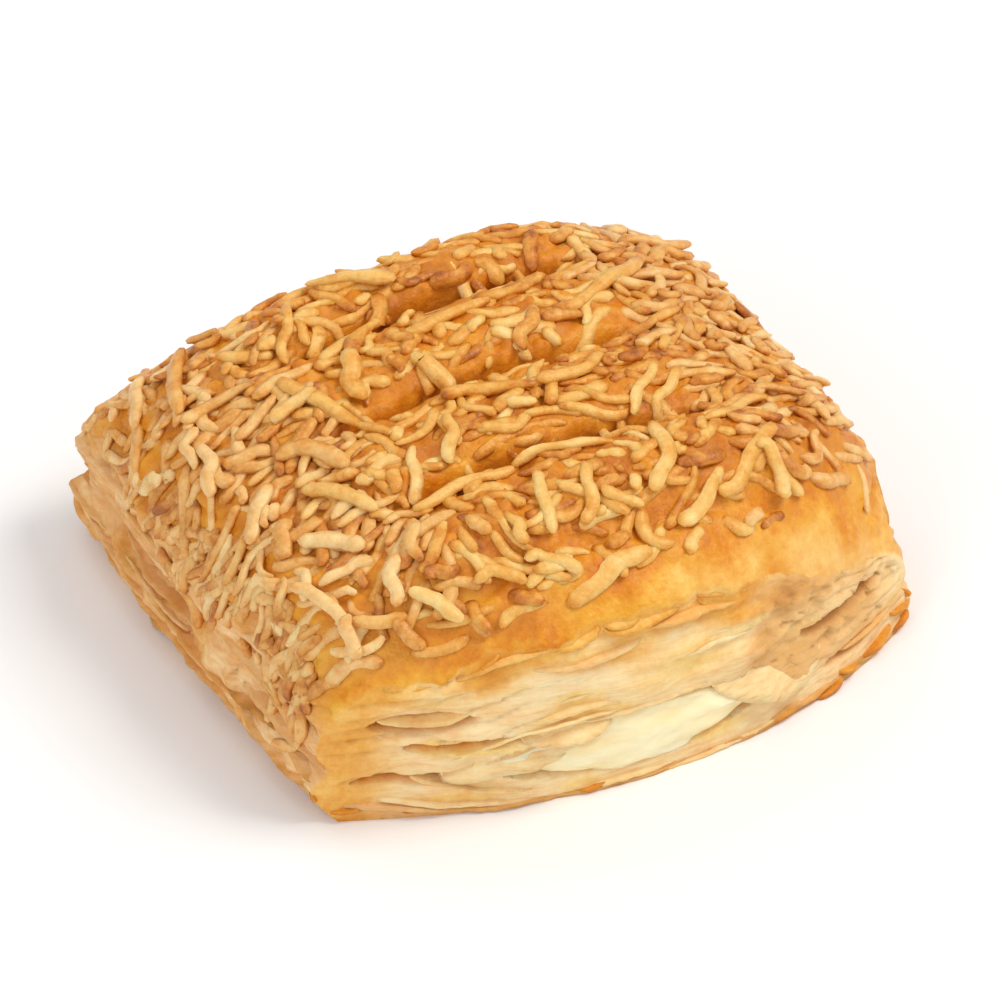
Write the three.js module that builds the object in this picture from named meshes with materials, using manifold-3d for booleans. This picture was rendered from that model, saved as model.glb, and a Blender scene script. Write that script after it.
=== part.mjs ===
// Half of a savoury cheese pastry, torn across its middle. A puff pastry parcel with a slashed
// top lies on its flat base. A flat band of soft cheese runs through it and shows in the tear.
// Shreds of grated cheese are baked onto its crust.
//
// Millimetres, +Z up. X runs across the parcel from one sealed side to the other. Y runs along
// it, and the torn face looks towards -Y. The origin is at the middle of the base.

import * as THREE from "three";
import { mergeVertices } from "three/addons/utils/BufferGeometryUtils.js";
import { ImprovedNoise } from "three/addons/math/ImprovedNoise.js";
import Module from "manifold-3d";

// Driving dimensions of the half parcel.
const WIDTH = 82; // across the sealed sides
const LENGTH = 66; // from the corners of the tear to the sealed far end
const CROWN_HEIGHT = 31; // top of the dome
const SHOULDER_HEIGHT = 25; // where the sides turn over into the top
const SHOULDER_INSET = 7; // how far the top's rim lies inside the outline
const FAR_CORNER_DROP = 7; // the two far corners are pressed lower
const BASE_TRIM = 0.6; // what is cut away below to leave a flat base

// The tear bulges forward at its foot, most of all right of the middle, and leans back above.
const TEAR_BULGE = 10.8;
const TEAR_SKEW = 1.12;
const TEAR_LEAN_LEFT = 0.5;
const TEAR_LEAN_RIGHT = 2;
// The crust slopes down towards the tear, most of all on the right.
const TEAR_DROP_LEFT = 8;
const TEAR_DROP_MIDDLE = 9;
const TEAR_DROP_RIGHT = 14.5;
const TEAR_SLOPE_RUN = 15;

// Leaves of torn dough, from the lower sheet at the foot of the tear up to the crust. from and
// to are places across the tear, level the height at the foot of the leaf's arch, and reach how
// far it stands out of the tear.
const TORN_LEAVES = [
  { from: -37, to: 37, level: 0.9, arch: 0.1, thick: 1.2, reach: 2.0 },
  { from: -36, to: -17, level: 3.4, arch: 0.3, thick: 0.9, reach: 1.8 },
  { from: 15, to: 37, level: 4.6, arch: 0.6, thick: 1.0, reach: 1.8 },
  { from: -35, to: -12, level: 7.6, arch: 0.8, thick: 1.0, reach: 2.2 },
  { from: -34, to: -14, level: 11.4, arch: 0.8, thick: 1.0, reach: 2.0 },
  { from: -18, to: 26, level: 11.6, arch: 2.0, thick: 1.0, reach: 2.2 },
  { from: -16, to: 20, level: 15.6, arch: 1.4, thick: 1.0, reach: 1.8 },
];

// Slots where the leaves have parted. at is the slot's middle across the tear.
const PARTINGS = [
  { at: -28, level: 13.6, length: 12, open: 1.8, depth: 5 },
  { at: -23, level: 9.9, length: 15, open: 1.1, depth: 4 },
  { at: -26, level: 5.3, length: 20, open: 1.0, depth: 4 },
  { at: 27, level: 9.4, length: 14, open: 1.6, depth: 5 },
  { at: 28, level: 3.6, length: 9, open: 1.2, depth: 4 },
];

// Slashes across the top, which bake into a row of plump slats.
const SLIT_PITCH = 15.5;
const SLIT_FIRST_Y = -18.5;
// row counts the pitches from the first.
const SLITS = [
  { row: 0, length: 40, skew: -0.03, depth: 6.2 },
  { row: 1, length: 43, skew: 0, depth: 6.6 },
  { row: 2, length: 41, skew: 0.03, depth: 6 },
  { row: 2.8, length: 24, skew: 0.06, depth: 3 },
];
const SLIT_WIDTH = 3.2;
const SLIT_LEAN = 0.28;
const SLAT_RISE = 2.3;
const SLAT_HALF_SPAN = 22;

// The band of soft cheese.
const FILLING_WIDTH = 36;
const FILLING_THICKNESS = 7.8;
const FILLING_CENTRE_X = -3;
const FILLING_CENTRE_Z = 6.2;
const FILLING_END_MARGIN = 10; // dough left between the cheese and the sealed far end
const FILLING_PROUD = 1.3; // how far the cheese swells out of the torn dough
const FILLING_GAP = 0.35; // clearance round it, so that the two solids stay apart

// Grated cheese, in rows from the tear to the far end. The columns are places across the top,
// where 1 is its rim and more lies over the shoulder.
const SHRED_ROWS = 7;
const SHRED_COLUMNS = [-1.09, -0.88, -0.68, -0.36, 0.0, 0.36, 0.68, 0.9];
const BORDER = 0.6; // where the slats end and the border begins, on the same scale
const SHRED_WIDTH = 1.9;
const SHRED_THICKNESS = 1.5;
const SHRED_SEED = 20731;

const PASTRY_COLOUR = "#d99a4a";
const CHEESE_COLOUR = "#fbe9b4";

const HALF_WIDTH = WIDTH / 2;
const TEAR_Y = -LENGTH / 2;
const FAR_Y = LENGTH / 2;

const noise = new ImprovedNoise();
const clamp = THREE.MathUtils.clamp;
const lerp = THREE.MathUtils.lerp;
const smoothstep = THREE.MathUtils.smoothstep;

// Unevenness of about one unit either way, with bumps of the given size in millimetres.
function wander(x, y, z, size) {
  return 1.6 * noise.noise(x / size + 7.3, y / size + 3.1, z / size + 5.7);
}

// A repeatable stream of numbers from 0 to 1.
function dice(seed) {
  let state = seed;
  return () => {
    state = (Math.imul(state, 1664525) + 1013904223) >>> 0;
    return state / 4294967296;
  };
}

// How far the side wall lies inside the outline, from the base at 0 to the shoulder at 1:
// the lower sheet's lip, the pinched seam, the upper sheet's lip and then the shoulder.
const sideProfile = new THREE.SplineCurve([
  new THREE.Vector2(0, 3.4),
  new THREE.Vector2(0.14, 1.1),
  new THREE.Vector2(0.27, 0),
  new THREE.Vector2(0.42, 1.9),
  new THREE.Vector2(0.56, 0.7),
  new THREE.Vector2(0.76, 1.9),
  new THREE.Vector2(0.91, 4.2),
  new THREE.Vector2(1, SHOULDER_INSET),
]);

function sideInset(height) {
  let low = 0;
  let high = 1;
  for (let i = 0; i < 14; i++) {
    const middle = (low + high) / 2;
    if (sideProfile.getPoint(middle).x < height) low = middle;
    else high = middle;
  }
  return sideProfile.getPoint(high).y;
}

// The foot of the tear, seen from above.
function tearFoot(x) {
  const share = clamp((x + HALF_WIDTH) / WIDTH, 0, 1) ** TEAR_SKEW;
  return TEAR_Y - TEAR_BULGE * (1 - Math.abs(2 * share - 1) ** 2.2);
}

// How far the tear's upper edge stands behind its foot.
function tearLean(x) {
  const share = (x + HALF_WIDTH) / WIDTH;
  return lerp(TEAR_LEAN_LEFT, TEAR_LEAN_RIGHT, smoothstep(share, 0.25, 0.6));
}

// How far the crust has sunk where it meets the tear.
function tearDrop(x) {
  const share = (x + HALF_WIDTH) / WIDTH;
  const left = lerp(TEAR_DROP_LEFT, TEAR_DROP_MIDDLE, smoothstep(share, 0, 0.45));
  return lerp(left, TEAR_DROP_RIGHT, smoothstep(share, 0.5, 0.95));
}

// The dome of the top with its slats and its slope towards the tear.
function topHeight(x, y) {
  const across = clamp(Math.abs(x) / (HALF_WIDTH - SHOULDER_INSET), 0, 1);
  const back = clamp(y / (FAR_Y - SHOULDER_INSET), 0, 1);
  const edge = tearFoot(x) + tearLean(x);
  const front = clamp((edge + TEAR_SLOPE_RUN - y) / TEAR_SLOPE_RUN, 0, 1);
  const dome = (1 - across ** 2.4) * (1 - 0.75 * back ** 5);
  const corner = across ** 3 * back ** 3 * FAR_CORNER_DROP;
  const slatZone = 1 - smoothstep(Math.abs(x), SLAT_HALF_SPAN - 3, SLAT_HALF_SPAN + 4);
  const phase = ((y - SLIT_FIRST_Y) / SLIT_PITCH) * Math.PI;
  const slat = slatZone * SLAT_RISE * (Math.abs(Math.sin(phase)) ** 0.7 - 0.6);
  return (
    SHOULDER_HEIGHT +
    (CROWN_HEIGHT - SHOULDER_HEIGHT) * dome +
    slat -
    corner -
    tearDrop(x) * front ** 2 +
    0.55 * wander(x, y, 0, 13) +
    0.3 * wander(x, y, 0, 6)
  );
}

// Maps a point of a unit box onto the parcel. across and along run from -1 to 1, with the tear
// at along -1, and height runs from the base at 0 to the top at 1.
function parcelPoint(across, along, height) {
  const round = along > 0 ? 0.2 : 0.08;
  const plan = (level) => {
    const inset = sideInset(level);
    const wall = HALF_WIDTH - inset + 0.7 * wander(9, along * 33, across * 9, 15);
    const x = across * Math.sqrt(1 - (round * along * along) / 2) * wall;
    const near = tearFoot(x) + tearLean(x) * level;
    const far = FAR_Y - inset + 0.8 * wander(x, 50, 0, 17);
    const share = (along * Math.sqrt(1 - (round * across * across) / 2) + 1) / 2;
    return [x, lerp(near, far, share)];
  };
  const rim = plan(1);
  const [x, y] = plan(height);
  return new THREE.Vector3(x, y, topHeight(...rim) * height);
}

// Lamination of the walls: shelves of dough a layer apart, stronger on the tear.
function laminate(point, across, along, height) {
  if (height <= 0 || height >= 1) return;
  const onTear = along <= -0.999;
  const edge = onTear ? point.x : point.y + (along >= 0.999 ? point.x : 0);
  const layer = wander(edge, point.z * 9, across * 5, 9);
  const reach = (onTear ? 1.2 : 0.6) * layer * Math.sin(height * Math.PI) ** 0.4;
  if (onTear) point.y -= reach;
  if (along >= 0.999) point.y += reach;
  if (Math.abs(across) >= 0.999) point.x += Math.sign(across) * reach;
}

// A box whose vertices are moved onto the parcel.
function parcelGeometry() {
  const geometry = new THREE.BoxGeometry(2, 2, 1, 25, 22, 10);
  const place = geometry.getAttribute("position");
  for (let i = 0; i < place.count; i++) {
    const across = place.getX(i);
    const along = place.getY(i);
    const height = place.getZ(i) + 0.5;
    const point = parcelPoint(across, along, height);
    laminate(point, across, along, height);
    place.setXYZ(i, point.x, point.y, point.z - BASE_TRIM * (1 - height));
  }
  return geometry;
}

const wasm = await Module();
wasm.setup();

// A closed three.js geometry as a solid for joining and cutting.
function solidOf(geometry) {
  const bare = new THREE.BufferGeometry();
  bare.setAttribute("position", geometry.getAttribute("position").clone());
  if (geometry.index) bare.setIndex(geometry.index.clone());
  const merged = mergeVertices(bare, 1e-4);
  return new wasm.Manifold(
    new wasm.Mesh({
      numProp: 3,
      vertProperties: new Float32Array(merged.getAttribute("position").array),
      triVerts: new Uint32Array(merged.index.array),
    }),
  );
}

function geometryOf(solid) {
  const mesh = solid.getMesh();
  const positions = new Float32Array(mesh.numVert * 3);
  for (let i = 0; i < mesh.numVert; i++) {
    const start = i * mesh.numProp;
    positions.set(mesh.vertProperties.subarray(start, start + 3), i * 3);
  }
  const geometry = new THREE.BufferGeometry();
  geometry.setAttribute("position", new THREE.BufferAttribute(positions, 3));
  geometry.setIndex(new THREE.BufferAttribute(mesh.triVerts, 1));
  return geometry;
}

// The largest body of a solid, without any scrap that a cut left loose.
function largestBody(solid) {
  return solid.decompose().sort((a, b) => b.volume() - a.volume())[0];
}

// A long lens lying along X, pointed at both ends.
function lensShape(length, width, points = 7) {
  const shape = new THREE.Shape();
  const outline = [];
  for (let i = 0; i < 2 * points; i++) {
    const angle = (i / points) * Math.PI;
    const half = Math.sin(angle) * Math.abs(Math.sin(angle)) ** 0.2;
    outline.push(new THREE.Vector2((Math.cos(angle) * length) / 2, (half * width) / 2));
  }
  shape.setFromPoints(outline);
  return shape;
}

// One slash: a lens-shaped blade from above, leaning as the knife did. The blade's foot is
// level, so the slash is deepest in the middle of the dome.
function slitBlade({ row, length, skew, depth }) {
  const blade = new THREE.ExtrudeGeometry(lensShape(length, SLIT_WIDTH), {
    depth: depth + 12,
    bevelEnabled: false,
    steps: 1,
  });
  blade.rotateX(SLIT_LEAN);
  blade.rotateZ(skew);
  const y = SLIT_FIRST_Y + row * SLIT_PITCH;
  blade.translate(0, y, topHeight(0, y) - depth + SLAT_RISE);
  return blade;
}

// The band of cheese, as a box warped to a flat pillow that follows the tear in front.
// grow makes the slightly larger hollow that it lies in.
function fillingGeometry(grow) {
  const geometry = new THREE.BoxGeometry(2, 2, 2, 16, 7, 4);
  const place = geometry.getAttribute("position");
  for (let i = 0; i < place.count; i++) {
    const across = place.getX(i);
    const along = place.getY(i);
    const up = place.getZ(i);
    const flank = lerp(0.3, 1, 1 - across * across);
    const taper = 1 - 0.55 * clamp(along, 0, 1) ** 3;
    const side = across * Math.sqrt(1 - (up * up) / 2.4) * (1 - 0.12 * clamp(along, 0, 1) ** 2);
    const x = FILLING_CENTRE_X + (side * FILLING_WIDTH) / 2 + across * grow;
    const uneven = 0.5 * wander(across * 27, along * 20, up * 4, 12);
    const lift = (up * flank * taper * FILLING_THICKNESS) / 2 + up * grow;
    const z = FILLING_CENTRE_Z + lift + uneven;
    const swell = (1 - across * across) * (1 - 0.6 * up * up) * FILLING_PROUD;
    const lean = (tearLean(x) * z) / SHOULDER_HEIGHT;
    const front = tearFoot(x) + lean + 0.6 - swell - grow;
    const far = FAR_Y - FILLING_END_MARGIN + grow;
    place.setXYZ(i, x, lerp(front, far, (along + 1) / 2), z);
  }
  return geometry;
}

// The hollow in the dough, run forward so that it is open at the tear.
function hollowSolid() {
  const hollow = solidOf(fillingGeometry(FILLING_GAP));
  return hollow.add(hollow.translate(0, -8, 0));
}

// A leaf of torn dough: a thin wavy band across the tear, arched over the cheese, with a
// ragged front edge.
function leafGeometry({ from, to, level, arch, thick, reach }, index) {
  const points = 6;
  const height = (share) => {
    const x = lerp(from, to, share);
    return level + arch * Math.sin(share * Math.PI) + 0.6 * wander(x, index * 17, level, 11);
  };
  const outline = [];
  for (let i = 0; i <= points; i++) {
    const share = i / points;
    outline.push(new THREE.Vector2(lerp(from, to, share), height(share)));
  }
  for (let i = points; i >= 0; i--) {
    const share = i / points;
    const full = thick * (0.35 + 0.65 * Math.sin(share * Math.PI) ** 0.5);
    outline.push(new THREE.Vector2(lerp(from, to, share), height(share) + full));
  }
  const leaf = new THREE.ExtrudeGeometry(new THREE.Shape(outline), {
    depth: 1,
    bevelEnabled: false,
    steps: 1,
  });
  const place = leaf.getAttribute("position");
  for (let i = 0; i < place.count; i++) {
    const x = place.getX(i);
    const z = place.getY(i);
    const share = (x - from) / (to - from);
    const face = tearFoot(x) + (tearLean(x) * z) / SHOULDER_HEIGHT;
    const bow = clamp(Math.sin(share * Math.PI), 0, 1) ** 0.6;
    const ragged = reach * (bow * (1 + 0.5 * wander(x, z, index, 5)) - 0.2);
    place.setXYZ(i, x, place.getZ(i) > 0.5 ? face + 6 : face - ragged, z);
  }
  // Extruding along Y swaps two axes, which turns the faces round.
  return turnFaces(leaf);
}

function turnFaces(geometry) {
  const turned = geometry.index ? geometry.toNonIndexed() : geometry;
  const place = turned.getAttribute("position");
  const corner = new THREE.Vector3();
  const other = new THREE.Vector3();
  for (let i = 0; i < place.count; i += 3) {
    corner.fromBufferAttribute(place, i + 1);
    other.fromBufferAttribute(place, i + 2);
    place.setXYZ(i + 1, other.x, other.y, other.z);
    place.setXYZ(i + 2, corner.x, corner.y, corner.z);
  }
  return turned;
}

// A dark slot where two leaves have parted.
function partingBlade({ at, level, length, open, depth }) {
  const blade = new THREE.ExtrudeGeometry(lensShape(length, open, 5), {
    depth: depth + 8,
    bevelEnabled: false,
    steps: 1,
  });
  blade.rotateX(Math.PI / 2);
  const face = tearFoot(at) + (tearLean(at) * level) / SHOULDER_HEIGHT;
  blade.translate(at, face + depth, level);
  return blade;
}

// The top's skin with its shoulders unfolded: beyond 1 either way, across goes over the
// shoulder and down the side.
function skinPoint(across, along) {
  const over = Math.max(0, Math.abs(across) - 1);
  return parcelPoint(clamp(across, -1, 1), clamp(along, -0.96, 1), 1 - over);
}

// One shred of grated cheese along the skin: a four-sided strip on a bent path.
function shredGeometry(across, along, turn, length, bend) {
  const steps = 3;
  const path = [];
  for (let i = 0; i <= steps; i++) {
    const share = i / steps - 0.5;
    const heading = turn + bend * share;
    const dx = (share * length * Math.cos(heading)) / (HALF_WIDTH - SHOULDER_INSET);
    const dy = (share * length * Math.sin(heading)) / (LENGTH / 2);
    const point = skinPoint(across + dx, along + dy);
    point.z += SHRED_THICKNESS * 0.22 + 0.5 * Math.sin(share * Math.PI) ** 2 * -0.4;
    path.push(point);
  }
  const section = new THREE.Shape();
  section.setFromPoints([
    new THREE.Vector2(-SHRED_THICKNESS / 2, -SHRED_WIDTH / 2.6),
    new THREE.Vector2(SHRED_THICKNESS / 2, -SHRED_WIDTH / 2),
    new THREE.Vector2(SHRED_THICKNESS / 2.2, SHRED_WIDTH / 2),
    new THREE.Vector2(-SHRED_THICKNESS / 2, SHRED_WIDTH / 2.4),
  ]);
  return new THREE.ExtrudeGeometry(section, {
    extrudePath: new THREE.CatmullRomCurve3(path),
    steps,
    bevelEnabled: false,
  });
}

// The shreds are short on both borders and over the shoulders, and longer over the slats.
function shredGeometries() {
  const roll = dice(SHRED_SEED);
  const shreds = [];
  for (let row = 0; row < SHRED_ROWS; row++) {
    for (const column of SHRED_COLUMNS) {
      const onBorder = Math.abs(column) > BORDER;
      const across = column + 0.16 * (roll() - 0.5);
      const along = lerp(-0.8, 0.9, (row + 0.9 * (roll() - 0.5)) / (SHRED_ROWS - 1));
      const length = onBorder ? lerp(5.5, 9, roll()) : lerp(7, 14, roll());
      const turn = (onBorder ? 3.1 : 2.2) * (roll() - 0.5) + (roll() < 0.5 ? 0.3 : 1.2);
      shreds.push(shredGeometry(across, along, turn, length, (roll() - 0.5) * 1.8));
    }
  }
  return shreds;
}

function pastrySolid() {
  let solid = solidOf(parcelGeometry());
  TORN_LEAVES.forEach((leaf, index) => {
    solid = solid.add(solidOf(leafGeometry(leaf, index)));
  });
  for (const parting of PARTINGS) solid = solid.subtract(solidOf(partingBlade(parting)));
  for (const slit of SLITS) solid = solid.subtract(solidOf(slitBlade(slit)));
  for (const shred of shredGeometries()) solid = solid.add(solidOf(shred));
  solid = solid.subtract(hollowSolid());
  const room = new THREE.BoxGeometry(4 * WIDTH, 4 * WIDTH, 100);
  room.translate(0, 0, 50);
  return largestBody(solid.intersect(solidOf(room)));
}

// A named sub-part of the pastry in its own colour.
function subPart(name, solid, colour, roughness) {
  const material = new THREE.MeshStandardMaterial({ color: colour, roughness, metalness: 0 });
  const mesh = new THREE.Mesh(geometryOf(solid), material);
  mesh.name = name;
  return mesh;
}

const pastry = new THREE.Group();
pastry.add(subPart("puff_pastry", pastrySolid(), PASTRY_COLOUR, 0.5));
pastry.add(subPart("cheese_filling", solidOf(fillingGeometry(0)), CHEESE_COLOUR, 0.35));

// Puts the origin at the middle of the base.
const middle = new THREE.Box3().setFromObject(pastry).getCenter(new THREE.Vector3());
for (const mesh of pastry.children) mesh.geometry.translate(-middle.x, -middle.y, 0);

export default pastry;
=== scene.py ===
"""Half of a torn cheese pastry: its flaky case, its soft cheese and its grated topping.

Every form is worked out in millimetres in the part's own places, and each mesh is written in
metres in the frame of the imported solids.
"""

import logging
import math
from dataclasses import astuple, dataclass, field
from enum import Enum
from functools import partial

import bmesh
import bpy
import numpy as np
from mathutils import Matrix, Vector
from mathutils.bvhtree import BVHTree


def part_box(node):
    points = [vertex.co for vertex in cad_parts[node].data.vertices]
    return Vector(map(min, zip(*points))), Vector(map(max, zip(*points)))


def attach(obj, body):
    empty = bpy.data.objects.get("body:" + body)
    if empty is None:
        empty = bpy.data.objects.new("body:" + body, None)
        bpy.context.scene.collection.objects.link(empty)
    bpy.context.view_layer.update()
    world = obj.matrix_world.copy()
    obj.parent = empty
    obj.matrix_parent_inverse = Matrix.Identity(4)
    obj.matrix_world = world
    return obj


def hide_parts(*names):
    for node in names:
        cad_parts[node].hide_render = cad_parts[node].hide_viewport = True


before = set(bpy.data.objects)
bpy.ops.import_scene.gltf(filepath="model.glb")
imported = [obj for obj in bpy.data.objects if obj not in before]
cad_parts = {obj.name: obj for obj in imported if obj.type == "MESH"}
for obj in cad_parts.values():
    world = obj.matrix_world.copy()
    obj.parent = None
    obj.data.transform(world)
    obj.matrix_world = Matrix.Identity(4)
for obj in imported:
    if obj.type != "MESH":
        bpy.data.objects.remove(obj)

MM = 0.001
TINY = 1e-6
BODY = "root"

Array = np.ndarray
Range = float | tuple[float, float]
Stops = tuple[tuple[float, str], ...]

log = logging.getLogger("cheese_pastry")


def linear(hex_colour: str) -> tuple[float, float, float, float]:
    """Turns an sRGB hex colour to the linear colour that shaders take.

    Args:
        hex_colour: Six hex digits.

    Returns:
        Red, green and blue from 0 to 1, and full alpha.
    """
    channels = [int(hex_colour[i:i + 2], 16) / 255 for i in (0, 2, 4)]
    turned = [c / 12.92 if c <= 0.04045 else ((c + 0.055) / 1.055) ** 2.4 for c in channels]
    return (*turned, 1.0)


def smoothstep(values: Array, low: float, high: float) -> Array:
    """Eases values from 0 at low to 1 at high."""
    share = np.clip((values - low) / (high - low), 0, 1)
    return share * share * (3 - 2 * share)


def mix(first: Array, second: Array, share: Array) -> Array:
    """Blends two values by a share from 0 to 1."""
    return first + (second - first) * share


@dataclass(frozen=True)
class Unevenness:
    """Repeatable noise over places in millimetres, set by a seed."""

    seed: int

    def hashed(self, cells: Array, salt: int) -> Array:
        """Gives every lattice cell a number of its own from -1 to 1.

        Args:
            cells: Whole-number cells, one row of three each.
            salt: Number that tells one set of numbers from another.

        Returns:
            One number for each cell.
        """
        word = 0xFFFFFFFF
        primes = (73856093, 19349663, 83492791)
        first, second, third = (cells[:, axis] * prime for axis, prime in enumerate(primes))
        own = self.seed * 2654435761 + salt * 40503
        mixed = (first ^ second ^ third ^ own) & word
        for bits, prime in ((15, 2246822519), (13, 3266489917)):
            mixed = ((mixed ^ (mixed >> bits)) * prime) & word
        return (mixed ^ (mixed >> 16)) / (word // 2) - 1.0

    def at(self, places: Array, size: float) -> Array:
        """Samples smooth noise.

        Args:
            places: Rows of x, y and z in millimetres.
            size: Width of a bump in millimetres.

        Returns:
            About -1 to 1 for each place.
        """
        scaled = places / size
        base = np.floor(scaled).astype(np.int64)
        part = scaled - base
        ease = part ** 3 * (part * (part * 6 - 15) + 10)
        total = np.zeros(len(places))
        for corner in range(8):
            step = np.array([corner & 1, (corner >> 1) & 1, corner >> 2])
            weight = np.prod(np.where(step, ease, 1 - ease), axis=1)
            away = part - step
            total += weight * sum(self.hashed(base + step, axis) * away[:, axis] for axis in range(3))
        return 1.5 * total

    def blisters(self, places: Array, pitch: float) -> Array:
        """Samples round domes scattered over the plane of x and y.

        Args:
            places: Rows of x, y and z in millimetres.
            pitch: Spacing of the domes in millimetres.

        Returns:
            0 between the domes, up to 1 at the middle of the tallest.
        """
        radius = 0.62
        scaled = places / pitch
        scaled[:, 2] = 0
        base = np.floor(scaled).astype(np.int64)
        height = np.zeros(len(places))
        for dx in (-1, 0, 1):
            for dy in (-1, 0, 1):
                cell = base + np.array([dx, dy, 0])
                stray = np.stack([self.hashed(cell, 11), self.hashed(cell, 12)], axis=1)
                centre = cell[:, :2] + 0.5 + 0.4 * stray
                gap = np.linalg.norm(scaled[:, :2] - centre, axis=1)
                tall = 0.5 + 0.5 * self.hashed(cell, 13)
                height = np.maximum(height, tall * np.clip(1 - (gap / radius) ** 2, 0, 1))
        return height


NOISE = Unevenness(4127)


@dataclass(frozen=True)
class Groove:
    """A groove across the pastry that closes towards both ends.

    Attributes:
        at: Its middle across the pastry in millimetres.
        level: Its row on the top, counted from the first, or its height in the tear.
        length: Length across the pastry.
        mouth: Width of its mouth.
        depth: Depth at its middle.
        skew: Turn in radians.
    """

    at: float
    level: float
    length: float
    mouth: float
    depth: float
    skew: float = 0.0

    def carve(self, x: Array, off: Array, sharpness: float, wall: tuple[float, float]) -> Array:
        """Works out how deep it is.

        Args:
            x: Places across the pastry.
            off: How far each lies off the groove's own line.
            sharpness: How fast its ends rise.
            wall: Where its wall begins and ends, as shares of half its mouth.

        Returns:
            Depths, 0 beside the groove.
        """
        share = np.clip(1 - (2 * (x - self.at) / self.length) ** 2, 0, 1)
        half = np.maximum(self.mouth / 2 * share ** 0.5, 0.01)
        return self.depth * share ** sharpness * (1 - smoothstep(np.abs(off) / half, *wall))


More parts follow.
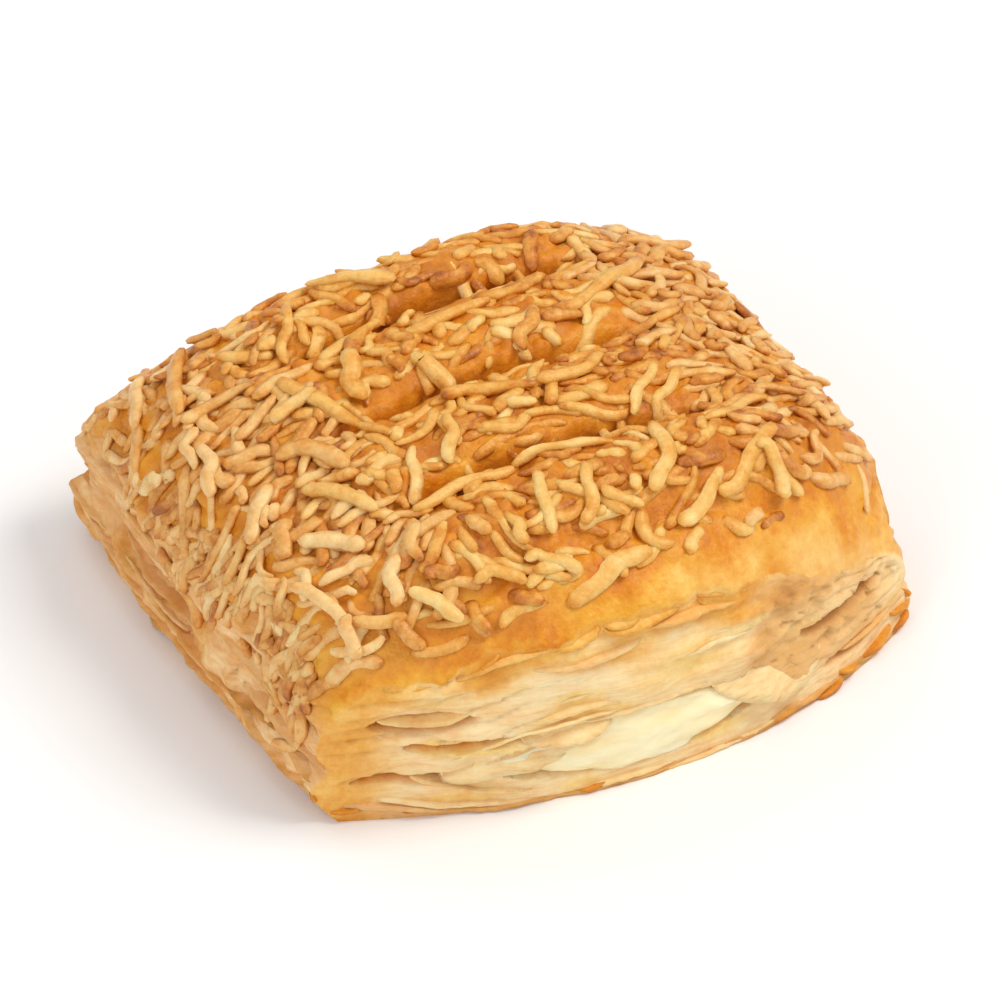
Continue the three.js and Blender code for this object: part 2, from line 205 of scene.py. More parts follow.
@dataclass(frozen=True)
class Parcel:
    """The form of the half parcel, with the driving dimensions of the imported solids.

    Places run on a unit box: across and along from -1 to 1, with the tear at along -1, and
    height from 0 at the base to 1 at the top. Lengths, x, y and z are in millimetres.
    """

    width: float = 82.0
    length: float = 66.0
    crown_height: float = 31.0
    shoulder_height: float = 25.0
    shoulder_inset: float = 7.0
    far_corner_drop: float = 7.0
    base_trim: float = 0.6
    tear_bulge: float = 10.8
    tear_skew: float = 1.12
    tear_lean_left: float = 0.5
    tear_lean_right: float = 2.0
    tear_drop_left: float = 8.0
    tear_drop_middle: float = 9.0
    tear_drop_right: float = 14.5
    tear_slope_run: float = 15.0
    slit_pitch: float = 15.5
    slit_first_y: float = -18.5
    slat_rise: float = 2.3
    slat_half_span: float = 22.0
    slits: tuple[Groove, ...] = (
        Groove(0, 0, 40, 3.2, 6.2, skew=-0.03),
        Groove(0, 1, 43, 3.2, 6.6),
        Groove(0, 2, 41, 3.2, 6, skew=0.03),
        Groove(0, 2.8, 24, 3.2, 3, skew=0.06),
    )
    partings: tuple[Groove, ...] = (
        Groove(-28, 13.6, 12, 1.8, 5),
        Groove(-23, 9.9, 15, 1.1, 4),
        Groove(-26, 5.3, 20, 1.0, 4),
        Groove(27, 9.4, 14, 1.6, 5),
        Groove(28, 3.6, 9, 1.2, 4),
    )
    profile_heights: tuple[float, ...] = (0, 0.14, 0.27, 0.42, 0.56, 0.76, 0.91, 1)
    profile_insets: tuple[float, ...] = (3.4, 1.1, 0, 1.9, 0.7, 1.9, 4.2, 7)

    @property
    def half_width(self) -> float:
        """Half of the width across the sealed sides."""
        return self.width / 2

    @property
    def far_y(self) -> float:
        """Where the sealed far end lies. The corners of the tear lie as far the other way."""
        return self.length / 2

    def side_inset(self, height: Array) -> Array:
        """How far the wall lies inside the outline: lip, pinched seam, lip and shoulder.

        Args:
            height: Share of the height, 0 at the base.

        Returns:
            Millimetres inside the outline.
        """
        nodes = np.stack([self.profile_heights, self.profile_insets], axis=1)
        last = len(nodes) - 1
        place = np.linspace(0, last, 400)
        first = np.minimum(place.astype(int), last - 1)
        share = (place - first)[:, None]
        before, start = nodes[np.maximum(first - 1, 0)], nodes[first]
        end, after = nodes[first + 1], nodes[np.minimum(first + 2, last)]
        leave, arrive = (end - before) / 2, (after - start) / 2
        curve = (
            (2 * start - 2 * end + leave + arrive) * share ** 3
            + (3 * end - 3 * start - 2 * leave - arrive) * share ** 2
            + leave * share
            + start
        )
        return np.interp(height, curve[:, 0], curve[:, 1])

    def share_across(self, x: Array) -> Array:
        """Turns x to a share of the width, from 0 at the left."""
        return (x + self.half_width) / self.width

    def tear_foot(self, x: Array) -> Array:
        """The y of the tear's foot."""
        share = np.clip(self.share_across(x), 0, 1) ** self.tear_skew
        return -self.far_y - self.tear_bulge * (1 - np.abs(2 * share - 1) ** 2.2)

    def tear_lean(self, x: Array) -> Array:
        """How far the tear's upper edge stands behind its foot."""
        share = smoothstep(self.share_across(x), 0.25, 0.6)
        return mix(self.tear_lean_left, self.tear_lean_right, share)

    def tear_edge(self, x: Array) -> Array:
        """The y where the crust ends above the tear."""
        return self.tear_foot(x) + self.tear_lean(x)

    def tear_drop(self, x: Array) -> Array:
        """How far the crust has sunk where it meets the tear.

        Args:
            x: Places across the pastry.

        Returns:
            Millimetres below the dome.
        """
        share = self.share_across(x)
        left = mix(self.tear_drop_left, self.tear_drop_middle, smoothstep(share, 0, 0.45))
        return mix(left, self.tear_drop_right, smoothstep(share, 0.5, 0.95))

    def uneven(self, x: Array, y: Array, level: float, size: float) -> Array:
        """Broad unevenness of the outline and of the dome.

        Args:
            x: Places across the pastry.
            y: Places along it.
            level: Third place, which tells one unevenness from another.
            size: Width of a bump.

        Returns:
            About -1 to 1 for each place.
        """
        flat = np.broadcast_arrays(x, y)
        places = np.stack([flat[0].ravel(), flat[1].ravel(), np.full(flat[0].size, level)], axis=1)
        return NOISE.at(places, size).reshape(flat[0].shape)

    def top_height(self, x: Array, y: Array) -> Array:
        """The height of the dome of the top, with its slats.

        Args:
            x: Places across the pastry.
            y: Places along it.

        Returns:
            Heights above the base.
        """
        across = np.clip(np.abs(x) / (self.half_width - self.shoulder_inset), 0, 1)
        back = np.clip(y / (self.far_y - self.shoulder_inset), 0, 1)
        run = self.tear_slope_run
        front = np.clip((self.tear_edge(x) + run - y) / run, 0, 1)
        dome = (1 - across ** 2.4) * (1 - 0.75 * back ** 5)
        corner = across ** 3 * back ** 3 * self.far_corner_drop
        span = self.slat_half_span
        zone = 1 - smoothstep(np.abs(x), span - 3, span + 4)
        phase = (y - self.slit_first_y) / self.slit_pitch * math.pi
        slat = zone * self.slat_rise * (np.abs(np.sin(phase)) ** 0.7 - 0.6)
        return (
            self.shoulder_height
            + (self.crown_height - self.shoulder_height) * dome
            + slat
            - corner
            - self.tear_drop(x) * front ** 2
            + 0.5 * self.uneven(x, y, 0, 13)
            + 0.3 * self.uneven(x, y, 40, 6)
        )

    def plan(self, across: Array, along: Array, level: Array) -> tuple[Array, Array]:
        """Where a place of the unit box lies, seen from above.

        Args:
            across: -1 to 1 across the pastry.
            along: -1 at the tear to 1 at the far end.
            level: Share of the height.

        Returns:
            X and y.
        """
        round_off = np.where(along > 0, 0.2, 0.08)
        inset = self.side_inset(level)
        wall = self.half_width - inset + 0.6 * self.uneven(along * 33, across * 9, 9, 15)
        x = across * np.sqrt(1 - round_off * along * along / 2) * wall
        near = self.tear_foot(x) + self.tear_lean(x) * level
        far = self.far_y - inset + 0.6 * self.uneven(x, 0 * x, 60, 17)
        share = (along * np.sqrt(1 - round_off * across * across / 2) + 1) / 2
        return x, mix(near, far, share)

    def place(self, across: Array, along: Array, height: Array) -> Array:
        """Maps places of the unit box onto the parcel.

        Args:
            across: -1 to 1 across the pastry.
            along: -1 at the tear to 1 at the far end.
            height: 0 at the base to 1 at the top.

        Returns:
            X, y and z in the last axis.
        """
        across, along, height = np.broadcast_arrays(across, along, height)
        rim = self.plan(across, along, np.ones_like(height, dtype=float))
        x, y = self.plan(across, along, height)
        z = self.top_height(*rim) * height - self.base_trim * (1 - height)
        return np.stack([x, y, np.maximum(z, 0)], axis=-1)

    def slit_depth(self, x: Array, y: Array) -> Array:
        """How deep the slashes are.

        Args:
            x: Places on the top, across the pastry.
            y: The same places along it.

        Returns:
            Depths, 0 beside the slashes.
        """
        depth = np.zeros_like(x)
        for slit in self.slits:
            middle = self.slit_first_y + slit.level * self.slit_pitch + slit.skew * x
            wander = 0.5 * self.uneven(x, 0 * x + slit.level * 50, 7, 7)
            wander += 0.45 * self.uneven(x, y, 21, 2.6)
            carved = slit.carve(x, y - middle - wander, 0.45, (0.3, 1.15))
            depth = np.maximum(depth, carved)
        return depth

    def parting_depth(self, x: Array, z: Array) -> Array:
        """How deep the partings are.

        Args:
            x: Places on the tear, across the pastry.
            z: Their heights.

        Returns:
            Depths, 0 beside the partings.
        """
        depth = np.zeros_like(x)
        for parting in self.partings:
            wander = 0.6 * self.uneven(x, 0 * x + parting.level * 9, 3, 6)
            carved = parting.carve(x, z - parting.level - wander, 0.5, (0.5, 1.5))
            depth = np.maximum(depth, carved)
        return depth


@dataclass(frozen=True)
class Band:
    """The form of the soft cheese between the two sheets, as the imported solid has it."""

    width: float = 36.0
    thickness: float = 7.8
    centre_x: float = -3.0
    centre_z: float = 6.2
    end_margin: float = 10.0
    proud: float = 1.3
    seam_rise_left: float = 3.0
    seam_rise_right: float = -0.4

    def half_height(self, x: Array) -> Array:
        """Half of the band's thickness at places across the pastry."""
        share = np.clip((x - self.centre_x) / (self.width / 2), -1, 1)
        return self.thickness / 2 * mix(0.3, 1.0, 1 - share * share)

    def parting(self, x: Array) -> tuple[Array, Array]:
        """The heights where the lower sheet ends and the upper one begins.

        Args:
            x: Places across the pastry in millimetres.

        Returns:
            The two heights, which meet at the seam beyond the band's ends.
        """
        share = np.abs(x - self.centre_x) / (self.width / 2)
        inside = 1 - smoothstep(share, 0.85, 1.08)
        rise = np.where(x < self.centre_x, self.seam_rise_left, self.seam_rise_right)
        seam = self.centre_z + rise * smoothstep(share, 1.0, 1.5)
        half = self.half_height(x) * inside
        return seam - half, seam + half


class Shift:
    """The way from the part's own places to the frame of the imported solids."""

    def __init__(self, parcel: Parcel, band: Band) -> None:
        """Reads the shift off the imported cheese, whose place in the parcel is known.

        Args:
            parcel: The form of the parcel.
            band: The form of its cheese.
        """
        low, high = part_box("cheese_filling")
        x = (low.x + high.x) / 2 / MM - band.centre_x
        y = high.y / MM - (parcel.far_y - band.end_margin)
        self.offset = np.array([x, y, 0.0])

    def read(self, mesh: bpy.types.Mesh) -> Array:
        """Reads a mesh in the frame as millimetres in the part."""
        return read_places(mesh) / MM - self.offset

    def write(self, mesh: bpy.types.Mesh, places: Array) -> None:
        """Writes millimetres in the part to a mesh, as metres in the frame."""
        mesh.vertices.foreach_set("co", ((places + self.offset) * MM).ravel())
        mesh.update()


PARCEL = Parcel()
BAND = Band()
SHIFT = Shift(PARCEL, BAND)


def read_places(mesh: bpy.types.Mesh) -> Array:
    """Reads a mesh's vertices.

    Args:
        mesh: The mesh.

    Returns:
        Rows of x, y and z as they are stored.
    """
    flat = np.empty(len(mesh.vertices) * 3)
    mesh.vertices.foreach_get("co", flat)
    return flat.reshape(-1, 3)


def write_value(mesh: bpy.types.Mesh, name: str, values: Array) -> None:
    """Stores one number for each vertex, under a name that materials read."""
    layer = mesh.attributes.new(name, "FLOAT", "POINT")
    layer.data.foreach_set("value", np.asarray(values, dtype=np.float32))


def mesh_of(shape: bmesh.types.BMesh, name: str) -> bpy.types.Mesh:
    """Turns a finished bmesh to a mesh and frees it.

    Args:
        shape: The bmesh.
        name: The mesh's name.

    Returns:
        The mesh.
    """
    mesh = bpy.data.meshes.new(name)
    shape.to_mesh(mesh)
    shape.free()
    return mesh


def make_piece(
    mesh: bpy.types.Mesh, finish: bpy.types.Material, node: str
) -> bpy.types.Object:
    """Makes a piece of the object that rides on the one body.

    Args:
        mesh: The piece's mesh, whose name becomes the piece's.
        finish: The piece's material.
        node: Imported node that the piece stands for.

    Returns:
        The new object, at the origin.
    """
    mesh.polygons.foreach_set("use_smooth", np.ones(len(mesh.polygons), dtype=bool))
    mesh.materials.append(finish)
    piece = bpy.data.objects.new(mesh.name, mesh)
    bpy.context.scene.collection.objects.link(piece)
    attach(piece, BODY)
    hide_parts(node)
    return piece


def box_lattice(across: int, along: int, up: int) -> bmesh.types.BMesh:
    """Makes a closed box from -1 to 1 whose faces are cut into even rows.

    Args:
        across: Faces along X.
        along: Faces along Y.
        up: Faces along Z.

    Returns:
        The box.
    """
    shape = bmesh.new()
    bmesh.ops.create_cube(shape, size=2)
    for axis, count in enumerate((across, along, up)):
        edges = [e for e in shape.edges if abs(e.verts[0].co[axis] - e.verts[1].co[axis]) > TINY]
        bmesh.ops.subdivide_edges(shape, edges=edges, cuts=count - 1)
    return shape


def layered(places: Array, level: Array, pitch: float) -> tuple[Array, Array]:
    """Relief of thin layers of dough seen edge on.

    Args:
        places: Rows of x, y and z in millimetres.
        level: Height through the layers in millimetres.
        pitch: Thickness of a layer in millimetres.

    Returns:
        How far each place stands out, about -1 to 1, and how near it is to its layer's lip.
    """
    flat = places * (1, 1, 0)
    wavy = (level + 0.7 * NOISE.at(flat, 13) + 0.25 * NOISE.at(flat, 4)) / pitch
    layer = np.floor(wavy)
    lip = np.sin((wavy - layer) * math.pi) ** 0.6
    flat[:, 2] = layer * 37.0
    reach = 0.8 * NOISE.at(flat, 9) + 0.2 * NOISE.at(flat, 2.4)
    return reach * (0.6 + 0.4 * lip) + 0.5 * (lip - 0.6), lip


LOWER_SHARE = 0.2


def tear_share(x: Array, z: Array, crust: Array) -> Array:
    """How far up through the layers a place of the tear is.

    Args:
        x: Places across the pastry in millimetres.
        z: Heights in millimetres.
        crust: Heights of the crust above.

    Returns:
        0 at the base, the lower sheet's share where the sheets part, and 1 at the crust.
    """
    low, high = BAND.parting(x)
    below = LOWER_SHARE * np.clip(z / np.maximum(low, 0.5), 0, 1)
    above = (1 - LOWER_SHARE) * np.clip((z - high) / np.maximum(crust - high, 1), 0, 1)
    return below + above


@dataclass(frozen=True)
class Lattice:
    """The case's vertices: where they lie on the unit box, and on the pastry in millimetres.

    Attributes:
        across: Their places across the unit box.
        along: Their places along it.
        height: Their places up it.
        places: Rows of x, y and z, which the relief changes.
        crust: Heights of the crust above them.
        on_top: Which of them lie on the top.
        on_tear: Which of them lie on the tear.
    """

    across: Array
    along: Array
    height: Array
    places: Array
    crust: Array
    on_top: Array
    on_tear: Array


@dataclass
class PastryCase:
    """The case: both sheets of puff pastry with the slashed top, the seam and the tear.

    Attributes:
        across: Faces across the top.
        along: Faces along it.
        up: Faces up the walls.
        side_relief: How far the layers of the sides stand out, in millimetres.
        tear_relief: The same for the layers of the tear.
        tear_layers: Number of layers that the tear shows.
        layer_pitch: Thickness of a baked layer in millimetres.
        blister_height: Height of the largest blister in millimetres.
        blister_pitch: Spacing of the large blisters.
        bubble_pitch: Spacing of the small ones.
        pocket: How far the dough stands back behind the cheese's face.
        left_wall_x: Where the left wall begins.
        main_fold_z: Height of its main fold.
        wall_patches: Pale or browned patches of the left wall: their y and z, their reach along
            and up, and how much browner they are.
    """

    across: int = 188
    along: int = 164
    up: int = 64
    side_relief: float = 0.55
    tear_relief: float = 1.25
    tear_layers: float = 7.5
    layer_pitch: float = 1.45
    blister_height: float = 0.4
    blister_pitch: float = 4.6
    bubble_pitch: float = 1.9
    pocket: float = 6.0
    left_wall_x: float = -20.0
    main_fold_z: float = 18.3
    wall_patches: tuple[tuple[float, ...], ...] = (
        (-9.0, 14.0, 5.0, 4.0, -0.16),
        (14.0, 14.5, 14.0, 2.6, -0.1),
        (-24.0, 9.0, 6.0, 3.0, -0.08),
        (12.0, 7.0, 12.0, 3.0, 0.14),
        (-16.0, 3.5, 9.0, 2.0, 0.12),
    )

    def top_detail(self, x: Array, y: Array) -> Array:
        """What blisters, wrinkles, slashes and flaked patches add to the top.

        Args:
            x: Places across the pastry in millimetres.
            y: Places along it.

        Returns:
            Millimetres upward.
        """
        places = np.stack([x, y, np.zeros_like(x)], axis=1)
        cheesy = 0.35 + 0.65 * smoothstep(y - PARCEL.tear_edge(x), 2, 10)
        blisters = self.blister_height * NOISE.blisters(places, self.blister_pitch)
        bubbles = 0.55 * NOISE.blisters(places + 60.0, self.bubble_pitch)
        wrinkles = 0.5 * NOISE.at(places * (1.0, 1.4, 1.0), 2.5) + 0.2 * NOISE.at(places, 1.1)
        patches = 0.25 * smoothstep(NOISE.at(places, 5.5), 0.02, 0.12)
        return blisters + patches + cheesy * (bubbles + wrinkles) - PARCEL.slit_depth(x, y)

    def build(self) -> bpy.types.Mesh:
        """Shapes the case from a box lattice.

        Returns:
            The mesh with the attributes that its finish reads.
        """
        shape = box_lattice(self.across, self.along, self.up)
        floor = [f for f in shape.faces if all(v.co.z < -1 + TINY for v in f.verts)]
        bmesh.ops.dissolve_faces(shape, faces=floor, use_verts=True)
        mesh = mesh_of(shape, "puff_pastry_case")
        across, along, up = read_places(mesh).T
        height = (up + 1) / 2
        rim = PARCEL.plan(across, along, np.ones_like(height))
        on_top = height > 1 - TINY
        grid = Lattice(
            across=across,
            along=along,
            height=height,
            places=PARCEL.place(across, along, height),
            crust=PARCEL.top_height(*rim),
            on_top=on_top,
            on_tear=(along < -1 + TINY) & ~on_top,
        )
        grid.places[:, 2] += self.top_detail(*rim) * height ** 8
        self.fray_edge(grid)
        lips = self.shape_walls(grid)
        np.maximum(grid.places[:, 2], 0, out=grid.places[:, 2])
        SHIFT.write(mesh, grid.places)
        self.colour(mesh, grid, lips)
        return mesh

    def fray_edge(self, grid: Lattice) -> None:
        """Tears the crust's edge into shallow tongues.

        Args:
            grid: The case's vertices, whose places are changed.
        """
        x, y = grid.places[:, 0], grid.places[:, 1]
        line = np.stack([x, 0 * x, 0 * x], axis=1)
        near = 1 - smoothstep(y - PARCEL.tear_edge(x), 0, 5)
        weight = grid.height ** 10 * near * (1 - smoothstep(np.abs(x), 30, 38))
        tongue = 1.3 * NOISE.at(line + 5.0, 6) + 0.6 * NOISE.at(line, 2.1) + 0.25 * NOISE.at(line, 0.9)
        sag = 0.7 * tongue + 0.5 * NOISE.at(line + 80.0, 3.0)
        grid.places[:, 1] -= weight * tongue
        grid.places[:, 2] -= weight * sag

    def shape_walls(self, grid: Lattice) -> Array:
        """Moves the walls' vertices in and out to show their layers.

        Args:
            grid: The case's vertices, whose places are changed.

        Returns:
            How near each vertex is to its layer's lip, below 0 in creases, painted as shade.
        """
        places = grid.places
        lips = np.zeros(len(places))
        window = np.sin(np.clip(grid.height, 0.0, 1.0) * math.pi) ** 0.35
        window *= smoothstep(places[:, 2], 0.0, 0.9)
        wall = ~grid.on_top & (grid.height > TINY)
        sides, tear = wall & ~grid.on_tear, wall & grid.on_tear
        here, across, along = places[sides], grid.across[sides], grid.along[sides]
        reach, lips[sides] = layered(here, here[:, 2], self.layer_pitch)
        folds = 1.2 * NOISE.at(here * (1.0, 1.0, 1.6) + 20.0, 8)
        folds += 0.7 * NOISE.at(here * (1.0, 1.0, 1.4) + 44.0, 3.6)
        folds += 0.25 * NOISE.at(here + 70.0, 1.5)
        creases = self.creases(here)
        folds -= 0.9 * creases
        # Lips fall below 0 in the creases, which colour() paints darker as shade.
        lips[sides] -= 0.8 * creases
        corner = 0.1 + 0.9 * smoothstep(along + 1, 0.0, 0.07)
        reach = (reach * self.side_relief + folds) * window[sides] * corner
        places[sides, 0] += reach * np.where(np.abs(across) > 1 - TINY, np.sign(across), 0)
        places[sides, 1] += reach * (along > 1 - TINY)
        here, crust = places[tear], grid.crust[tear]
        out, lips[tear] = self.torn_relief(here, crust)
        out *= 0.1 + 0.9 * smoothstep(1 - np.abs(grid.across[tear]), 0.0, 0.06)
        out *= 0.2 + 0.8 * smoothstep(crust - here[:, 2], 0.0, 1.8)
        places[tear, 1] -= out * window[tear]
        return lips

    def creases(self, places: Array) -> Array:
        """Says where narrow creases run through the folded layers of the sides.

        Args:
            places: Rows of x, y and z in millimetres.

        Returns:
            0 beside the creases, 1 in the small ones and more in the main fold.
        """
        x, y, z = places.T
        broad = np.abs(NOISE.at(places * (0.45, 0.45, 1.5) + 5.0, 5.2))
        short = np.abs(NOISE.at(places * (0.8, 0.8, 0.9) + 25.0, 4.4))
        wander = 1.4 * NOISE.at(places * (0.0, 1.0, 0.0), 9)
        fold = np.abs(z - self.main_fold_z - 0.05 * (y - 20) - wander)
        fold = (1 - smoothstep(fold, 0.2, 1.3)) * smoothstep(y, -4, 6) * (x < self.left_wall_x)
        narrow = np.maximum(1 - smoothstep(broad, 0.0, 0.16), 0.7 * (1 - smoothstep(short, 0.0, 0.1)))
        return np.maximum(narrow, 1.3 * fold)

    def torn_relief(self, here: Array, crust: Array) -> tuple[Array, Array]:
        """Works out how far the torn dough stands out of the tear.

        On the left the layers have come apart, in the middle they are stretched smooth over the
        cheese, and on the right they are airy.

        Args:
            here: Places on the tear in millimetres.
            crust: Heights of the crust above them.

        Returns:
            Millimetres forward of the tear, and how near each place is to its layer's lip.
        """
        x, z = here[:, 0], here[:, 2]
        share = tear_share(x, z, crust)
        left = 1 - smoothstep(x, -20, -8)
        right = smoothstep(x, 6, 18)
        reach, lip = layered(here * (1.0, 0.3, 1.0), share * self.tear_layers, 1.0)
        amount = self.tear_relief * (0.4 + 0.7 * left + 0.1 * right)
        broad = 0.8 * NOISE.at(here * (1.0, 0.0, 1.6) + 90.0, 11)
        broad += 0.5 * NOISE.at(here * (0.7, 0.0, 1.6), 5)
        fibres = 0.13 * NOISE.at(np.stack([x * 0.3, 0 * x, share * 24], axis=1), 0.9)
        bulge = 1.3 * np.exp(-((x + 1) / 12) ** 2 - ((z - 14) / 3.2) ** 2)
        near_cheese = 1 - smoothstep(np.abs(x - BAND.centre_x), 10, 18)
        calm = 1 - 0.6 * near_cheese * (1 - smoothstep(np.abs(z - BAND.centre_z), 4, 7))
        large = smoothstep(NOISE.at(here * (0.75, 0.0, 1.2) + 31.0, 2.3), 0.1, 0.5)
        small = smoothstep(NOISE.at(here * (0.9, 0.0, 1.1) + 57.0, 1.15), 0.2, 0.45)
        holes = (0.7 * large + 0.45 * small) * (0.15 + 0.85 * right * smoothstep(z, 3, 6))
        holes *= 1 - smoothstep(share, 0.82, 0.95)
        out = calm * (reach * amount + broad) + fibres + bulge - holes - PARCEL.parting_depth(x, z)
        low, high = BAND.parting(x)
        half = np.maximum((high - low) / 2, 0.05)
        ring = np.clip(np.abs(z - (low + high) / 2) / half, 0, 1)
        return out - self.pocket * np.sqrt(1 - ring ** 2) * np.clip(half / 2, 0, 1), lip

    def colour(self, mesh: bpy.types.Mesh, grid: Lattice, lips: Array) -> None:
        """Stores how far each place is baked, how much egg wash it has and how airy it is.

        The bake also holds painted shade in the slashes, creases and torn recesses.

        Args:
            mesh: The case's mesh.
            grid: Its vertices.
            lips: How near each vertex is to its layer's lip, below 0 in the creases.
        """
        places = grid.places
        x, y, z = places.T
        uneven = NOISE.at(places, 6.5)
        inward = y - PARCEL.tear_edge(x) + 2.2 * uneven
        pale = (1 - smoothstep(inward, 0, 10)) * mix(0.4, 1.0, smoothstep(x, -22, 14))
        slit = smoothstep(PARCEL.slit_depth(x, y), 0.6, 3.5)
        crest = np.clip((z - PARCEL.shoulder_height) / 7, -1, 1)
        # Slashes get a higher bake: painted shade darkening their valleys.
        bake_top = 0.54 + 0.06 * crest + 0.2 * uneven - 0.12 * pale + 0.2 * slit
        lumps = 0.5 + NOISE.at(places * (1.0, 1.0, 1.4) + 44.0, 3.6)
        bake_side = 0.27 + 0.1 * np.maximum(lips, 0) + 0.14 * lumps + 0.1 * uneven
        bake_side -= 0.05 * (1 - smoothstep(z, 6, 12))
        # Creases, where the lips fall below 0, get a higher bake: painted shade.
        bake_side += 0.2 * np.clip(-lips, 0, 1)
        bake_side += 0.3 * (1 - smoothstep(z, 0.4, 2.4))
        for patch_y, patch_z, run, rise, browned in self.wall_patches:
            near = np.exp(-(((y - patch_y) / run) ** 2) - ((z - patch_z) / rise) ** 2)
            bake_side += browned * near * (x < self.left_wall_x) * (1 + 1.5 * uneven)
        shoulder = smoothstep(grid.height + 0.06 * uneven, 0.62, 0.84)
        bake_side = mix(bake_side, bake_top, shoulder)
        share = tear_share(x, z, grid.crust)
        depth = PARCEL.tear_foot(x) + PARCEL.tear_lean(x) * grid.height - y
        patchy = NOISE.at(places * (0.6, 1.0, 1.6) + 11.0, 5)
        golden = smoothstep(share + 0.3 * patchy, 0.62, 1.0) * (1 - 0.7 * smoothstep(x, 10, 22))
        golden = np.maximum(golden, 0.85 * (1 - smoothstep(x + 2 * uneven, -36, -30)))
        airy = smoothstep(x + 3 * uneven, 8, 17) * smoothstep(z, 2.5, 5)
        edge = (1 - smoothstep(inward, -1, 5)) * smoothstep(x, 12, 28)
        streaks = smoothstep(NOISE.at(places * (0.35, 0.35, 1.5) + 63.0, 3.4), 0.1, 0.5)
        # Recesses of the tear and its partings get a higher bake: painted shade.
        bake_tear = 0.12 + 0.05 * lips + 0.1 * patchy + 0.13 * np.clip(-depth / 2.5, 0, 2.4)
        bake_tear += 0.09 * np.minimum(PARCEL.parting_depth(x, z), 4)
        blotchy = NOISE.at(places * (0.7, 0.0, 1.1) + 47.0, 5.5)
        bake_tear += 0.22 * golden + (0.16 + 0.5 * blotchy) * airy + 0.25 * (1 - smoothstep(z, 0.2, 0.9))
        bake = np.where(grid.on_top, bake_top, np.where(grid.on_tear, bake_tear, bake_side))
        washed = 1 - 0.25 * smoothstep(pale, 0.7, 1.0)
        over_cheese = np.exp(-((x - 3) / 7) ** 2 - ((z - 15) / 3) ** 2)
        yellow = np.maximum(0.8 * golden, np.maximum(0.55 * streaks, 0.6 * over_cheese))
        fat = 0.3 * smoothstep(NOISE.at(places * (0.5, 0.5, 1.2) + 17.0, 4.0), 0.0, 0.5)
        wall = np.where(grid.on_tear, yellow, mix(fat, washed, shoulder))
        washed = np.where(grid.on_top, washed, wall) * (1 - 0.15 * slit)
        write_value(mesh, "airy", np.where(grid.on_tear, airy * (1 - golden), 0.8 * edge * grid.on_top))
        # The stored bake holds browning and painted shade.
        write_value(mesh, "bake", np.clip(bake, 0, 1))
        write_value(mesh, "washed", washed)


class Route(Enum):
    """The stretch of wall that a leaf of dough lies on."""

    TEAR = "tear"
    SEALED = "sealed"


class Wall:
    """A wall of the parcel unrolled, to place thin leaves of dough on it."""

    def __init__(self, route: Route, rows: int = 60, count: int = 420) -> None:
        """Samples the wall's places and its outward directions.

        Args:
            route: Which wall it is.
            rows: Samples up the wall.
            count: Samples along it.
        """
        if route is Route.TEAR:
            across, along = np.linspace(-1, 1, count), np.full(count, -1.0)
        else:
            walk = np.linspace(0, 3, count)
            across = np.clip(3 - 2 * walk, -1, 1)
            along = np.where(walk < 1, 2 * walk - 1, np.where(walk > 2, 5 - 2 * walk, 1.0))
        heights = np.linspace(0, 1, rows)
        self.grid = PARCEL.place(across[None, :], along[None, :], heights[:, None])
        steps = np.linalg.norm(np.diff(self.grid[rows // 3, :, :2], axis=0), axis=1)
        self.run = np.concatenate([[0], np.cumsum(steps)])
        tangent = np.gradient(self.grid[..., :2], axis=1)
        outward = np.stack([tangent[..., 1], -tangent[..., 0]], axis=-1)
        outward = outward / np.linalg.norm(outward, axis=-1, keepdims=True)
        reach = 9
        kernel = np.hanning(2 * reach + 1)
        kernel /= kernel.sum()
        padded = np.pad(outward, ((0, 0), (reach, reach), (0, 0)), mode="edge")
        smooth = sum(k * padded[:, i:i + count] for i, k in enumerate(kernel))
        self.outward = smooth / np.linalg.norm(smooth, axis=-1, keepdims=True)

    @property
    def length(self) -> float:
        """Length along the wall in millimetres."""
        return float(self.run[-1])

    def run_at(self, x: float) -> float:
        """Turns a place across the tear to millimetres along it."""
        return float(np.interp(x, self.grid[0, :, 0], self.run))

    def at(self, run: Array, height: Array) -> tuple[Array, Array]:
        """Samples the wall.

        Args:
            run: Millimetres along the wall.
            height: Share of the height.

        Returns:
            Places in millimetres, and outward directions seen from above.
        """
        rows, count = self.grid.shape[:2]
        column = np.interp(run, self.run, np.arange(count))
        row = np.clip(height, 0, 1) * (rows - 1)
        left = np.minimum(column.astype(int), count - 2)
        below = np.minimum(row.astype(int), rows - 2)
        s, t = (column - left)[:, None], (row - below)[:, None]
        place = mix(
            mix(self.grid[below, left], self.grid[below, left + 1], s),
            mix(self.grid[below + 1, left], self.grid[below + 1, left + 1], s),
            t,
        )
        return place, self.outward[below, left]


@dataclass(frozen=True)
class Leaf:
    """One thin leaf of dough that stands out of a wall.

    Attributes:
        start: Where it begins along the wall, in millimetres.
        length: Length along the wall.
        level: Its level: a share of the layers in the tear, or of the height at the sides.
        climb: How much higher its far end lies, on the same scale.
        reach: How far its edge stands out.
        droop: How far its edge sinks, or lifts if negative.
        bake: How brown it is.
        edge_bake: How much browner its edge is.
        washed: How much of it was washed with egg.
        tag: Number that sets its raggedness.
    """

    start: float
    length: float
    level: float
    climb: float
    reach: float
    droop: float
    bake: float
    edge_bake: float
    washed: float
    tag: int


